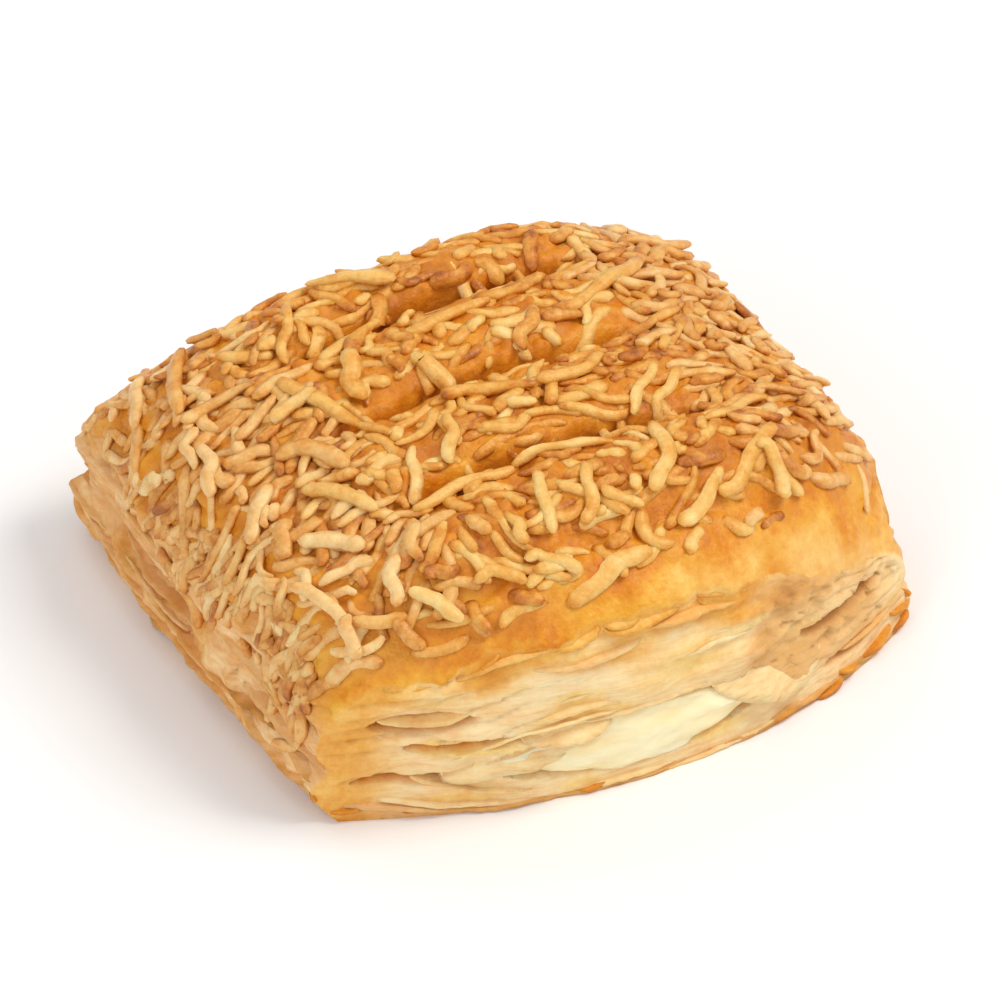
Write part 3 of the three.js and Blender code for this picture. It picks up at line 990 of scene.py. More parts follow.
@dataclass
class LeafSheaf:
    """Many leaves of dough on one wall, as one piece.

    Attributes:
        name: The piece's name.
        route: The wall that they lie on.
        leaves: The leaves.
        step: Spacing of vertices along a leaf in millimetres.
        bands: Faces from a leaf's root to its edge.
        root: How far its root lies inside the wall.
        thickness: Thickness of a leaf in millimetres.
    """

    name: str
    route: Route
    leaves: list[Leaf]
    step: float = 0.6
    bands: int = 6
    root: float = 1.8
    thickness: float = 0.32

    def grids(self) -> bpy.types.Mesh:
        """Lays out one flat grid for each leaf.

        Returns:
            The grids, each at the height of its leaf's number.
        """
        shape = bmesh.new()
        for index, leaf in enumerate(self.leaves):
            count = max(6, round(leaf.length / self.step))
            rise = Matrix.Translation((0, 0, index))
            bmesh.ops.create_grid(shape, x_segments=count, y_segments=self.bands, size=0.5, matrix=rise)
        return mesh_of(shape, self.name)

    def build(self) -> bpy.types.Mesh:
        """Bends the grids to the wall with ragged, drooping edges.

        Returns:
            The mesh of open sheets, which the piece's modifier makes thick.
        """
        wall = Wall(self.route)
        mesh = self.grids()
        unit = read_places(mesh)
        table = np.array([astuple(leaf) for leaf in self.leaves])[np.rint(unit[:, 2]).astype(int)]
        start, length, level, climb, reach, droop, bake, edge_bake, washed, tag = table.T
        share, out_share = unit[:, 0] + 0.5, unit[:, 1] + 0.5
        run = start + share * length
        level = level + (share - 0.5) * climb
        flat = np.stack([run, tag * 41.0, 0 * run], axis=1)
        height = self.height_share(wall, run, level + 0.012 * NOISE.at(flat, 9))
        places, outward = wall.at(run, height)
        bow = np.clip(np.sin(share * math.pi), 0, 1) ** 0.5
        ragged = 0.75 + 0.5 * NOISE.at(flat, 6) + 0.28 * NOISE.at(flat, 1.9) + 0.1 * NOISE.at(flat, 0.8)
        corner = 2 * np.abs(outward[:, 0] * outward[:, 1])
        reach = reach * (1 - 0.6 * corner)
        edge = reach * bow * np.maximum(ragged, 0.05) - 0.4 * (1 - bow)
        out = mix(-self.root, edge, out_share)
        places[:, :2] += outward * out[:, None]
        flat[:, 2] = out_share * 3
        wave = 0.35 * NOISE.at(flat, 4.5) + 0.12 * NOISE.at(flat, 1.5)
        places[:, 2] += out_share * wave - droop * out_share ** 2 * bow
        places[:, 2] = np.maximum(places[:, 2], self.thickness / 2 + 0.02)
        SHIFT.write(mesh, places)
        browned = bake + edge_bake * out_share ** 2
        browned += 0.1 * (1 - smoothstep(places[:, 2], 0.4, 1.8)) * out_share
        write_value(mesh, "bake", np.clip(browned + 0.07 * NOISE.at(flat, 3.0), 0, 1))
        write_value(mesh, "washed", washed)
        return mesh

    def height_share(self, wall: Wall, run: Array, level: Array) -> Array:
        """Turns a leaf's level to a share of the wall's height.

        Args:
            wall: The wall.
            run: Millimetres along it.
            level: Levels of the leaves.

        Returns:
            Shares of the height.
        """
        if self.route is Route.SEALED:
            return level
        top, _ = wall.at(run, np.ones_like(run))
        low, high = BAND.parting(top[:, 0])
        crust = top[:, 2]
        below = low * level / LOWER_SHARE
        above = high + (crust - high) * (level - LOWER_SHARE) / (1 - LOWER_SHARE)
        return np.where(level < LOWER_SHARE, below, above) / crust

    def dress(self, finish: bpy.types.Material) -> bpy.types.Object:
        """Makes the piece and gives its leaves their thickness.

        Args:
            finish: Its material.

        Returns:
            The piece.
        """
        piece = make_piece(self.build(), finish, "puff_pastry")
        thick = piece.modifiers.new("leaf thickness", "SOLIDIFY")
        thick.thickness = self.thickness * MM
        thick.offset = 0
        return piece


# Leaves with a place of their own: where they begin and end across the tear in millimetres,
# then their level, climb, reach, droop and bake.
CHEESE_FLAPS = (
    (-25.0, -9.0, 0.22, -0.04, 1.9, 3.6, 0.12),
    (-17.0, -6.0, 0.26, -0.04, 2.2, 2.0, 0.12),
    (6.0, 22.0, 0.27, -0.01, 2.3, 4.6, 0.12),
    (-10.0, 6.5, 0.265, 0.01, 1.5, 0.5, 0.12),
)
TOASTED_FOOT = (
    (35.5, 40.0, 0.13, 0.03, 1.8, -0.2, 0.46),
    (32.5, 36.5, 0.1, -0.02, 2.1, -0.2, 0.4),
    (34.0, 38.5, 0.05, 0.03, 1.9, -0.2, 0.54),
    (28.5, 33.5, 0.06, 0.03, 1.8, -0.2, 0.46),
    (24.5, 28.0, 0.05, -0.02, 1.4, -0.2, 0.4),
    (21.0, 25.5, 0.04, 0.02, 1.5, -0.2, 0.5),
    (14.0, 19.0, 0.04, 0.01, 1.2, -0.2, 0.44),
    (-41.0, -37.0, 0.09, -0.03, 0.9, -0.2, 0.6),
    (-38.0, -33.0, 0.05, 0.01, 0.9, -0.2, 0.5),
    (-30.0, -24.0, 0.04, 0.02, 0.8, -0.2, 0.5),
    (-11.0, -7.0, 0.08, 0.04, 1.2, -0.2, 0.45),
)


def placed_leaves(
    wall: Wall, table: tuple[tuple[float, ...], ...], edge_bake: float, washed: float, tag: int
) -> list[Leaf]:
    """Makes the leaves that have a place of their own.

    Args:
        wall: The wall of the tear.
        table: A row of numbers for each leaf.
        edge_bake: How much browner their edges are.
        washed: How much of them was washed with egg.
        tag: Number of the first.

    Returns:
        The leaves in order.
    """
    leaves = []
    for low, high, *form in table:
        start = wall.run_at(low)
        leaves.append(Leaf(start, wall.run_at(high) - start, *form, edge_bake, washed, tag))
        tag += 13
    return leaves


@dataclass(frozen=True)
class LeafRow:
    """A row of leaves, whose values are drawn from ranges.

    Attributes:
        level: Level of the row.
        first: Where its first leaf may begin, in millimetres along the wall.
        length: Lengths of its leaves.
        gap: Gaps between them, or overlaps if negative.
        last_start: Where its last leaf must have begun.
        end: Where it must end.
        frayed_end: Where each leaf must end at the latest, drawn anew for each.
        shortest: Length at which the row stops.
        stray: How far a leaf may stray from the row's level.
        climb: As a leaf has, like the rest.
    """

    level: float
    first: Range
    length: Range
    gap: Range
    last_start: float
    end: float
    reach: Range
    bake: Range
    edge_bake: Range
    droop: Range = 0.0
    washed: Range = 0.0
    climb: Range = 0.0
    stray: Range = 0.0
    frayed_end: Range = math.inf
    shortest: float = 0.0


def strew(leaves: list[Leaf], rows: list[LeafRow], seed: int, tag: int = 0) -> list[Leaf]:
    """Adds rows of leaves, each from the wall's start to its end.

    Args:
        leaves: Leaves that lie there already, to which the new ones are added.
        rows: The rows.
        seed: Number that sets the draws.
        tag: Number of the first row.

    Returns:
        All the leaves in order.
    """
    draw = np.random.default_rng(seed)

    def pick(values: Range) -> float:
        """Draws from a range, or takes a single value as it is."""
        return draw.uniform(*values) if isinstance(values, tuple) else values

    for row in rows:
        start = pick(row.first)
        while start < row.last_start:
            length = min(pick(row.length), row.end - start)
            length = min(length, pick(row.frayed_end) - start)
            if length < row.shortest:
                break
            level = row.level + pick(row.stray)
            ranges = (row.climb, row.reach, row.droop, row.bake, row.edge_bake, row.washed)
            leaves.append(Leaf(start, length, level, *map(pick, ranges), tag + len(leaves)))
            start += length + pick(row.gap)
        tag += 7
    return leaves


def torn_leaves() -> list[Leaf]:
    """Draws the leaves that stand out of the tear.

    Returns:
        The flaps round the cheese, then rows from the base up to the crust.
    """
    wall = Wall(Route.TEAR, rows=4)
    span, airy_from = wall.length, wall.run_at(11)
    rows = []
    for level in (0.07, 0.14, *np.linspace(0.28, 0.92, 7)):
        lower, upper = level < LOWER_SHARE, max(0.0, level - 0.7) / 0.3
        row = LeafRow(
            level=level, first=(1.5, 14), length=(12, 42), gap=(-2, 26), last_start=span - 8,
            end=span - 2, shortest=9, stray=(-0.03, 0.03), reach=(0.5, 1.6), edge_bake=(0.0, 0.14),
            frayed_end=math.inf if lower else (airy_from - 4, airy_from + 4),
            climb=0.0 if lower else (-0.12, 0.12),
            droop=(-0.2, 0.3) if lower else (-0.5, 1.2),
            bake=(0.06 + 0.15 * upper, 0.26 + 0.15 * upper),
            washed=(0.5 * upper, 0.3 + 0.5 * upper),
        )
        rows.append(row)
    flaps = placed_leaves(wall, CHEESE_FLAPS, edge_bake=0.08, washed=0.1, tag=900)
    return strew(flaps, rows, seed=911)


def crust_leaves() -> list[Leaf]:
    """Draws the ragged edges of the two crusts.

    Returns:
        The flakes at the foot, the base's edge and the upper crust's edge above the tear.
    """
    wall = Wall(Route.TEAR, rows=4)
    shared = {"first": (0.3, 3), "last_start": wall.length - 5, "shortest": 4}
    base = LeafRow(
        level=0.05, length=(14, 34), gap=(-6, 3), end=wall.length - 0.3,
        reach=(0.5, 1.5), bake=(0.16, 0.36), edge_bake=0.2, **shared,
    )
    upper = [
        LeafRow(
            level=level, length=(5, 17), gap=(-1, 10), end=wall.run_at(16), reach=(0.2, 1.3),
            droop=(0.6, 1.8), bake=0.32, edge_bake=0.1, washed=0.75, **shared,
        )
        for level in (0.965, 0.99)
    ]
    flakes = placed_leaves(wall, TOASTED_FOOT, edge_bake=0.1, washed=0.85, tag=700)
    return strew(flakes, [base, *upper], seed=533, tag=500)


def sealed_leaves() -> list[Leaf]:
    """Draws the edges of the baked layers round the sealed sides.

    Returns:
        Rows below the pinched seam and above it.
    """
    span = Wall(Route.SEALED, rows=4).length
    rows = [
        LeafRow(
            level=level, first=(0.5, 6), length=(9, 34), gap=(-5, 12), last_start=span - 6,
            end=span - 0.5, stray=(-0.02, 0.02), climb=(-0.07, 0.07), reach=(0.5, 1.5),
            droop=(-0.5, 0.9), bake=(0.18, 0.42), edge_bake=(0.08, 0.3),
        )
        for level in (*np.linspace(0.06, 0.37, 6), *np.linspace(0.46, 0.7, 5))
    ]
    return strew([], rows, seed=377)


@dataclass
class SoftCheeseBand:
    """The flat band of soft cheese that swells out of the tear.

    Attributes:
        across: Faces across the band.
        along: Faces along it.
        up: Faces through its thickness.
    """

    across: int = 120
    along: int = 70
    up: int = 26

    def build(self) -> bpy.types.Mesh:
        """Shapes the band from a box lattice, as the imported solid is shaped.

        Returns:
            The band's mesh.
        """
        mesh = mesh_of(box_lattice(self.across, self.along, self.up), "soft_cheese_band")
        across, along, up = read_places(mesh).T
        back = np.clip(along, 0, 1)
        flank = mix(0.3, 1.0, 1 - across * across)
        side = across * np.sqrt(1 - up * up / 2.4) * (1 - 0.12 * back ** 2)
        x = BAND.centre_x + side * BAND.width / 2
        flat = np.stack([across * 27, along * 20, up * 4], axis=1)
        lift = up * flank * (1 - 0.55 * back ** 3) * BAND.thickness / 2
        z = BAND.centre_z + lift + 0.4 * NOISE.at(flat, 12)
        swell = (1 - across * across) * (1 - 0.6 * up * up) * BAND.proud
        lean = PARCEL.tear_lean(x) * z / PARCEL.shoulder_height
        front = PARCEL.tear_foot(x) + lean + 0.6 - swell
        y = mix(front, PARCEL.far_y - BAND.end_margin, (along + 1) / 2)
        places = np.stack([x, y, z], axis=1)
        face = smoothstep(-along, 0.75, 1.0)
        smear = 0.55 * NOISE.at(places * (0.5, 0.0, 1.4), 2.6)
        smear += 0.2 * NOISE.at(places * (0.6, 0.0, 2.0), 1.0)
        places[:, 1] -= face * smear
        SHIFT.write(mesh, places)
        return mesh

    def dress(self, finish: bpy.types.Material) -> bpy.types.Object:
        """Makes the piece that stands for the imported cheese."""
        return make_piece(self.build(), finish, "cheese_filling")


class Zone(Enum):
    """Where grated cheese lies, with its bounds in millimetres: low x, high x, low y, high y."""

    LEFT_BORDER = (-40.0, -20.0, -36.0, 31.0)
    RIGHT_BORDER = (20.0, 40.0, -32.0, 31.0)
    SLATS = (-22.0, 22.0, -38.0, 30.0)


@dataclass(frozen=True)
class Sprinkle:
    """How thickly one zone is sprinkled.

    Attributes:
        zone: The zone.
        count: Shreds in it.
        shortest: Shortest shred in millimetres.
        longest: Longest shred in millimetres.
        level_share: Share of the shreds that lie across the pastry.
        most_stacked: How high shreds may pile up, in millimetres.
        parts: Faces along a shred.
    """

    zone: Zone
    count: int
    shortest: float
    longest: float
    level_share: float
    most_stacked: float
    parts: int


class Rod:
    """A straight closed rod, whose rings are later moved onto a shred's path.

    Attributes:
        faces: Its faces as numbers of vertices.
        share: How far along the rod each vertex is, from 0 to 1.
        ring: The ring of each vertex.
        side: How far to the side each vertex lies, from -1 to 1.
        rise: How far up each vertex lies, from -1 to 1.
        tip: -1 and 1 for the middles of the rod's two ends, and 0 elsewhere.
    """

    def __init__(self, sides: int, parts: int) -> None:
        """Makes the rod from a cylinder.

        Args:
            sides: Faces round it.
            parts: Faces along it.
        """
        shape = bmesh.new()
        bmesh.ops.create_cone(shape, cap_ends=True, segments=sides, radius1=1, radius2=1, depth=2)
        edges = [e for e in shape.edges if abs(e.verts[0].co.z - e.verts[1].co.z) > 1]
        bmesh.ops.subdivide_edges(shape, edges=edges, cuts=parts - 1)
        bmesh.ops.poke(shape, faces=[f for f in shape.faces if len(f.verts) == sides])
        shape.verts.index_update()
        places = np.array([v.co[:] for v in shape.verts])
        self.faces = [tuple(v.index for v in f.verts) for f in shape.faces]
        shape.free()
        self.share = (places[:, 2] + 1) / 2
        self.ring = np.rint(self.share * parts).astype(int)
        self.side, self.rise = (np.sign(places[:, i]) * np.abs(places[:, i]) ** 0.85 for i in (0, 1))
        self.tip = np.where(np.hypot(places[:, 0], places[:, 1]) < 0.1, places[:, 2], 0)


# The clearest shreds of the topping, laid one by one: x and y of the start, the middle and
# the end in millimetres, then the thickness against that of a usual shred.
LAID_SHREDS = (
    (-11.5, 22, -7.5, 20, -3, 16.5, 1.25),
    (-5, 16, -8, 12.5, -14.5, 5.5, 1.3),
    (-16, 19, -18, 15, -20, 11.5, 0.95),
    (-14.5, 6.5, -15.5, 3, -16.5, -0.5, 1.35),
    (-7.5, 2.5, -7, 0.5, -6, -2.5, 1.35),
    (-6.5, 6.5, -1.5, 7, 4.5, 7, 1),
    (11.5, 3, 17.5, 3.5, 26, 8.5, 1.1),
    (4.5, -1.5, 6, 0.5, 8.5, 3, 1),
    (-8.5, -6.5, -4.5, -7.5, 1, -10.5, 1.3),
    (-10, -10.5, -11.5, -13, -13, -16.5, 1.1),
    (2, -10.5, 7, -10, 11.5, -8.5, 1.1),
    (16.5, -12, 13.5, -14.5, 10.5, -17.5, 0.8),
    (18.5, -13.5, 15.5, -16, 13, -19, 0.8),
    (14.5, -22.5, 12, -24.5, 11.5, -27, 1.1),
    (16.5, -8.5, 19, -7, 22, -7, 1),
    (-23, 7, -20, 0.5, -17, -9, 1.1),
    (-26.5, 2.5, -23.5, 3, -21, 2.5, 1.2),
    (-28.5, -3, -25, -4.5, -23, -9.5, 1.35),
    (-20.5, -21.5, -13.5, -21, -7, -20.5, 1.2),
    (-7, -21, -1.5, -21, 4.5, -23.5, 1.2),
    (-15.5, -12, -17.5, -15.5, -19.5, -19.5, 1),
    (-6.5, -24.5, -7.5, -29, -9, -33, 1),
    (-12, -28, -12.5, -30.5, -12, -33, 0.95),
    (-1, -26, -2, -29.5, -5, -33, 1),
    (-0.5, -30, 1, -31.5, 2.5, -33.5, 0.9),
    (5, -32, 8.5, -28, 10.5, -22.5, 1.1),
    (12.5, -33.5, 17, -31.5, 23, -28, 1.1),
    (6, -36, 9.5, -34.5, 13, -32, 1.2),
    (20, -30, 21.5, -31.5, 21.5, -34, 1.2),
    (-10, -39, -5.5, -38.5, 1.5, -37, 1.35),
    (-12.5, -33.5, -10.5, -35, -8, -37.5, 1),
    (-19, -33, -16.5, -33.5, -14.5, -36, 1),
    (-26.5, -26.5, -27, -28.5, -28.5, -31, 1.1),
    (-26.5, -31, -24, -32.5, -22.5, -36, 1.1),
    (-22, -22.5, -23, -25.5, -24, -29, 1.1),
    (-27, 24.5, -31, 18.5, -33.5, 12.5, 1.1),
    (-31.5, 26, -34.5, 22, -36, 18, 1),
    (-33.5, 11, -30, 11, -25.5, 9, 1.1),
    (-33, 9.5, -35, 7, -36, 4, 1),
    (-34, 6, -35, 2, -36, -1, 1.1),
    (-36, -11, -34, -8, -30.5, -5, 1.1),
    (-35, -16, -33.5, -14, -32.5, -12, 1.2),
    (-29, -10, -26.5, -12.5, -24, -18, 1.2),
    (-32.5, -16, -30, -18.5, -28, -22.5, 1.3),
    (-33.5, -23, -30.5, -23.5, -27.5, -24.5, 1),
    (-36, -20.5, -34.5, -24.5, -34, -29.5, 1),
    (-33, -28.5, -34, -30.5, -34, -33, 1),
)


@dataclass
class CrustMap:
    """The crust seen from above on a square grid, and the cheese that piles up on it.

    Attributes:
        case: The case's mesh.
        low_x: Where the maps begin across the pastry, in millimetres.
        low_y: Where they begin along it.
        cells: Their cells across and along.
        cell: Width of a cell in millimetres.
        above: Height from which the crust is measured.
        nothing: Height of a cell beside the pastry.
    """

    case: bpy.types.Mesh
    low_x: float = -45.0
    low_y: float = -48.0
    cells: tuple[int, int] = (180, 170)
    cell: float = 0.5
    above: float = 60.0
    nothing: float = -20.0

    def __post_init__(self) -> None:
        """Measures the crust's height in each cell, for two maps: the crust, and all heights."""
        faces = [tuple(f.vertices) for f in self.case.polygons]
        self.tree = BVHTree.FromPolygons(SHIFT.read(self.case).tolist(), faces)
        self.crust = np.zeros(self.cells)
        for i, j in np.ndindex(self.cells):
            place = (self.low_x + i * self.cell, self.low_y + j * self.cell, self.above)
            hit = self.tree.ray_cast(Vector(place), Vector((0, 0, -1)))[0]
            self.crust[i, j] = hit.z if hit else self.nothing
        self.heights = self.crust.copy()

    def read(self, table: Array, x: Array, y: Array) -> Array:
        """Reads a map between its cells.

        Args:
            table: The map.
            x: Places across the pastry in millimetres.
            y: Places along it.

        Returns:
            The map's values there.
        """
        i = np.clip((x - self.low_x) / self.cell, 0, self.cells[0] - 1.001)
        j = np.clip((y - self.low_y) / self.cell, 0, self.cells[1] - 1.001)
        a, b = i.astype(int), j.astype(int)
        s, t = i - a, j - b
        return mix(mix(table[a, b], table[a + 1, b], s), mix(table[a, b + 1], table[a + 1, b + 1], s), t)

    def slope(self, x: Array, y: Array, reach: float = 1.2) -> Array:
        """Works out which way the crust faces.

        Args:
            x: Places across the pastry in millimetres.
            y: Places along it.
            reach: How far to each side its slope is measured.

        Returns:
            Upward directions of length 1.
        """
        across = self.read(self.crust, x + reach, y) - self.read(self.crust, x - reach, y)
        along = self.read(self.crust, x, y + reach) - self.read(self.crust, x, y - reach)
        up = np.stack([-across, -along, np.full_like(x, 2 * reach)], axis=1)
        return up / np.linalg.norm(up, axis=1, keepdims=True)

    def around(self, place: Array, reach: int) -> tuple[tuple[slice, slice], Array]:
        """Finds the cells round a place.

        Args:
            place: X and y in millimetres.
            reach: Cells to each side of its own.

        Returns:
            The cells, and how far each is from the place in millimetres.
        """
        low = np.array([self.low_x, self.low_y])
        own = np.rint((place[:2] - low) / self.cell).astype(int)
        own = np.clip(own, reach, np.array(self.cells) - 1 - reach)
        sides = own[:, None] + np.arange(-reach, reach + 1)
        across, along = low[:, None] + sides * self.cell - place[:2, None]
        rows, columns = (slice(side[0], side[-1] + 1) for side in sides)
        return (rows, columns), np.hypot(across[:, None], along[None, :])

    def pile(self, place: Array, thickness: float) -> None:
        """Raises the heights round one place of a shred.

        Args:
            place: X, y and z of its middle in millimetres.
            thickness: Half of its thickness.
        """
        cells, gap = self.around(place, 2)
        top = place[2] + thickness * 0.75 * (1 - 0.6 * gap * gap)
        self.heights[cells] = np.maximum(self.heights[cells], np.where(gap < 1.0, top, -np.inf))


@dataclass
class GratedCheese:
    """Shreds of grated cheese, half melted onto the crust and onto each other.

    Attributes:
        case: The case's mesh, which carries them.
        draw: Stream of random numbers, from which every shred draws in turn.
        sprinkles: What is sprinkled where.
        laid: The shreds that are laid one by one, on the others.
        half_width: Half of a shred's width in millimetres.
        half_thickness: Half of its thickness in millimetres.
        sides: Faces round a shred.
        laid_parts: Faces along a laid shred.
        hung_parts: Faces along a shred that hangs on the wall.
        hung_lengths: Shortest and longest of those.
        hung_high: Highest share of the height, near which most of them hang.
        spilled: Shreds that hang on each part of the sealed wall: the bounds along it as shares,
            the lowest share of the height, and their count.
        tries: Paths that are tried for each shred, of which the lowest is taken.
        lowest_crust: Lowest crust on which shreds are scattered, in millimetres.
        deepest_slash: Depth of a slash above which they may still lie.
        steepest: Steepest bed that they may lie on, as rise to run.
        bare_edge: Crust left bare along the tear, in millimetres.
        film_reach: How far the melted film runs out from a shred.
        film_height: Thickness of the film.
        rim_bake: How much darker the crust is round a shred: painted contact shade, partly oil.
        most_toasted: The most that a shred is toasted, from 0 to 1.
        shreds: Finished shreds: rows of x, y, z, tone, goldenness, and toasting with painted shade.
        faces: Faces of all shreds.
    """

    case: bpy.types.Mesh
    draw: np.random.Generator = field(default_factory=lambda: np.random.default_rng(20731))
    sprinkles: tuple[Sprinkle, ...] = (
        Sprinkle(Zone.LEFT_BORDER, 165, 4.0, 9.0, 0.3, 1.8, 8),
        Sprinkle(Zone.RIGHT_BORDER, 145, 4.0, 9.5, 0.3, 2.0, 8),
        Sprinkle(Zone.SLATS, 18, 10.0, 16.0, 0.75, 1.2, 12),
        Sprinkle(Zone.SLATS, 165, 4.0, 9.0, 0.4, 1.2, 8),
        Sprinkle(Zone.SLATS, 70, 2.0, 4.0, 0.2, 1.2, 5),
        Sprinkle(Zone.LEFT_BORDER, 30, 2.0, 4.0, 0.2, 2.4, 5),
        Sprinkle(Zone.RIGHT_BORDER, 25, 2.0, 4.0, 0.2, 2.4, 5),
    )
    laid: tuple[tuple[float, ...], ...] = LAID_SHREDS
    half_width: float = 0.94
    half_thickness: float = 0.61
    sides: int = 6
    laid_parts: int = 12
    hung_parts: int = 7
    hung_lengths: tuple[float, float] = (3.5, 7.5)
    hung_high: float = 0.88
    spilled: tuple[tuple[float, float, float, int], ...] = (
        (0.67, 0.985, 0.58, 60),
        (0.76, 0.98, 0.34, 26),
        (0.9, 0.985, 0.16, 20),
        (0.34, 0.65, 0.6, 20),
        (0.04, 0.32, 0.6, 24),
    )
    tries: int = 7
    lowest_crust: float = 8.0
    deepest_slash: float = 2.2
    steepest: float = 1.5
    bare_edge: float = 3.4
    film_reach: float = 1.7
    film_height: float = 0.45
    rim_bake: float = 0.08
    most_toasted: float = 0.68
    shreds: list[Array] = field(default_factory=list)
    faces: list[tuple[int, ...]] = field(default_factory=list)

    def __post_init__(self) -> None:
        """Maps the crust that the shreds will lie on."""
        self.ground = CrustMap(self.case)

    def bent_path(self, length: float, heading: float, parts: int) -> Array:
        """Draws a bent path on the plane.

        Args:
            length: Its length in millimetres.
            heading: Its direction in radians.
            parts: Faces along the shred.

        Returns:
            Rows of x and y in millimetres about the middle.
        """
        bend = self.draw.normal(0, 0.75) * min(1.0, length / 6)
        twist = self.draw.normal(0, 0.36)
        turn = self.draw.uniform(0, 2 * math.pi)
        share = np.linspace(-0.5, 0.5, parts + 1)
        headings = heading + bend * share + twist * np.cos(share * 2 * math.pi + turn)
        steps = np.stack([np.cos(headings), np.sin(headings)], axis=1) * length / parts
        path = np.cumsum(steps, axis=0)
        return path - path.mean(axis=0)

    def scattered_path(self, sprinkle: Sprinkle) -> Array:
        """Draws a path on the crust for one shred.

        Args:
            sprinkle: What is sprinkled there.

        Returns:
            Rows of x and y in millimetres.
        """
        low_x, high_x, low_y, high_y = sprinkle.zone.value
        start = self.draw.uniform((low_x, low_y), (high_x, high_y))
        length = self.draw.uniform(sprinkle.shortest, sprinkle.longest)
        level = self.draw.random() < sprinkle.level_share
        heading = self.draw.normal(0.1, 0.4) if level else self.draw.uniform(0, math.pi)
        return start + self.bent_path(length, heading, sprinkle.parts)

    def laid_path(self, points: list[float]) -> Array:
        """Draws a slightly wavering curve through three points.

        Args:
            points: X and y of the start, the middle and the end.

        Returns:
            Rows of x and y in millimetres.
        """
        share = np.linspace(0, 1, self.laid_parts + 1)[:, None]
        start, middle, end = np.reshape(points, (3, 2))
        path = start * (2 * share - 1) * (share - 1) + middle * 4 * share * (1 - share)
        turns = self.draw.uniform(0, 2 * math.pi, 2)
        waver = 0.3 * np.sin(share * 5.5 + turns) + 0.15 * np.sin(share * 11 + turns[::-1])
        return path + end * share * (2 * share - 1) + waver

    def hang(self, wall: Wall, low: float, high: float, lowest: float) -> tuple[Array, Array]:
        """Hangs a path on the sealed wall, clear of its layers.

        Args:
            wall: The sealed wall.
            low: Where the stretch begins, as a share of the wall's length.
            high: Where it ends.
            lowest: Lowest share of the height.

        Returns:
            Places along the shred's middle, and outward directions there.
        """
        length = self.draw.uniform(*self.hung_lengths)
        heading = self.draw.normal(math.pi / 2, 0.6)
        path = self.bent_path(length, heading, self.hung_parts)
        run = self.draw.uniform(low, high) * wall.length + path[:, 0]
        height = self.draw.triangular(lowest, self.hung_high, self.hung_high)
        height = height + path[:, 1] / PARCEL.shoulder_height
        rough, outward = wall.at(np.clip(run, 1, wall.length - 1), np.clip(height, 0.1, 0.95))
        rough[:, :2] += 1.5 * outward
        nearest = self.ground.tree.find_nearest
        hits = [nearest(Vector(place)) for place in rough]
        middle, up = (np.array([hit[i][:] for hit in hits]) for i in (0, 1))
        for _ in range(3):
            middle, up = (self.evened(values) for values in (middle, up))
        up /= np.linalg.norm(up, axis=1, keepdims=True)
        hits = [nearest(Vector(place)) for place in middle]
        clear = np.array([(Vector(place) - hit[0]).dot(hit[1]) for place, hit in zip(middle, hits)])
        lift = np.maximum(0.3 * self.half_thickness - clear, 0)
        for _ in range(2):
            lift = np.maximum(lift, self.evened(lift))
        return middle + lift[:, None] * up, up

    def fit(self, path: Array, sprinkle: Sprinkle) -> float:
        """Says how well a path lies.

        Args:
            path: Rows of x and y in millimetres.
            sprinkle: What is sprinkled here.

        Returns:
            Mean height of the cheese already below it, or infinity where it lies off the crust,
            over a slash or too high.
        """
        x, y = path.T
        bare = self.bare_edge * (1 + 0.5 * math.sin(0.7 * x[0]))
        bare *= mix(0.6, 1.6, smoothstep(x[0], -20, 20))
        if np.any(y < PARCEL.tear_edge(x) + bare):
            return math.inf
        crust = self.ground.read(self.ground.crust, x, y)
        rise = np.abs(np.diff(self.bridge(crust))).max()
        run = np.hypot(x[1] - x[0], y[1] - y[0])
        if np.any(crust < self.lowest_crust) or rise > self.steepest * run:
            return math.inf
        if PARCEL.slit_depth(x, y).mean() > self.deepest_slash:
            return math.inf
        piled = self.ground.read(self.ground.heights, x, y) - crust
        return math.inf if piled.max() > sprinkle.most_stacked else float(piled.mean())

    def bridge(self, bed: Array) -> Array:
        """Stretches a soft shred over the hollows of its bed.

        Args:
            bed: Heights of the bed along the shred.

        Returns:
            Heights of the shred.
        """
        soft = bed.copy()
        for _ in range(8):
            soft = np.maximum(self.evened(soft), bed - 0.3)
        return soft

    def evened(self, values: Array) -> Array:
        """Averages each value along a path with its neighbours."""
        padded = np.concatenate([values[:1], values, values[-1:]])
        return (padded[:-2] + 2 * padded[1:-1] + padded[2:]) / 4

    def drape(self, path: Array, thickness: float) -> tuple[Array, Array]:
        """Lays a path on the crust and on the shreds already there.

        Args:
            path: Rows of x and y in millimetres.
            thickness: Half of the shred's thickness.

        Returns:
            Places along the shred's middle, and upward directions there.
        """
        x, y = path.T
        up = self.ground.slope(x, y)
        soft = self.bridge(self.ground.read(self.ground.heights, x, y))
        places = np.stack([x, y, soft], axis=1) + up * thickness * 0.3
        for place in places:
            self.ground.pile(place, thickness)
        return places, up

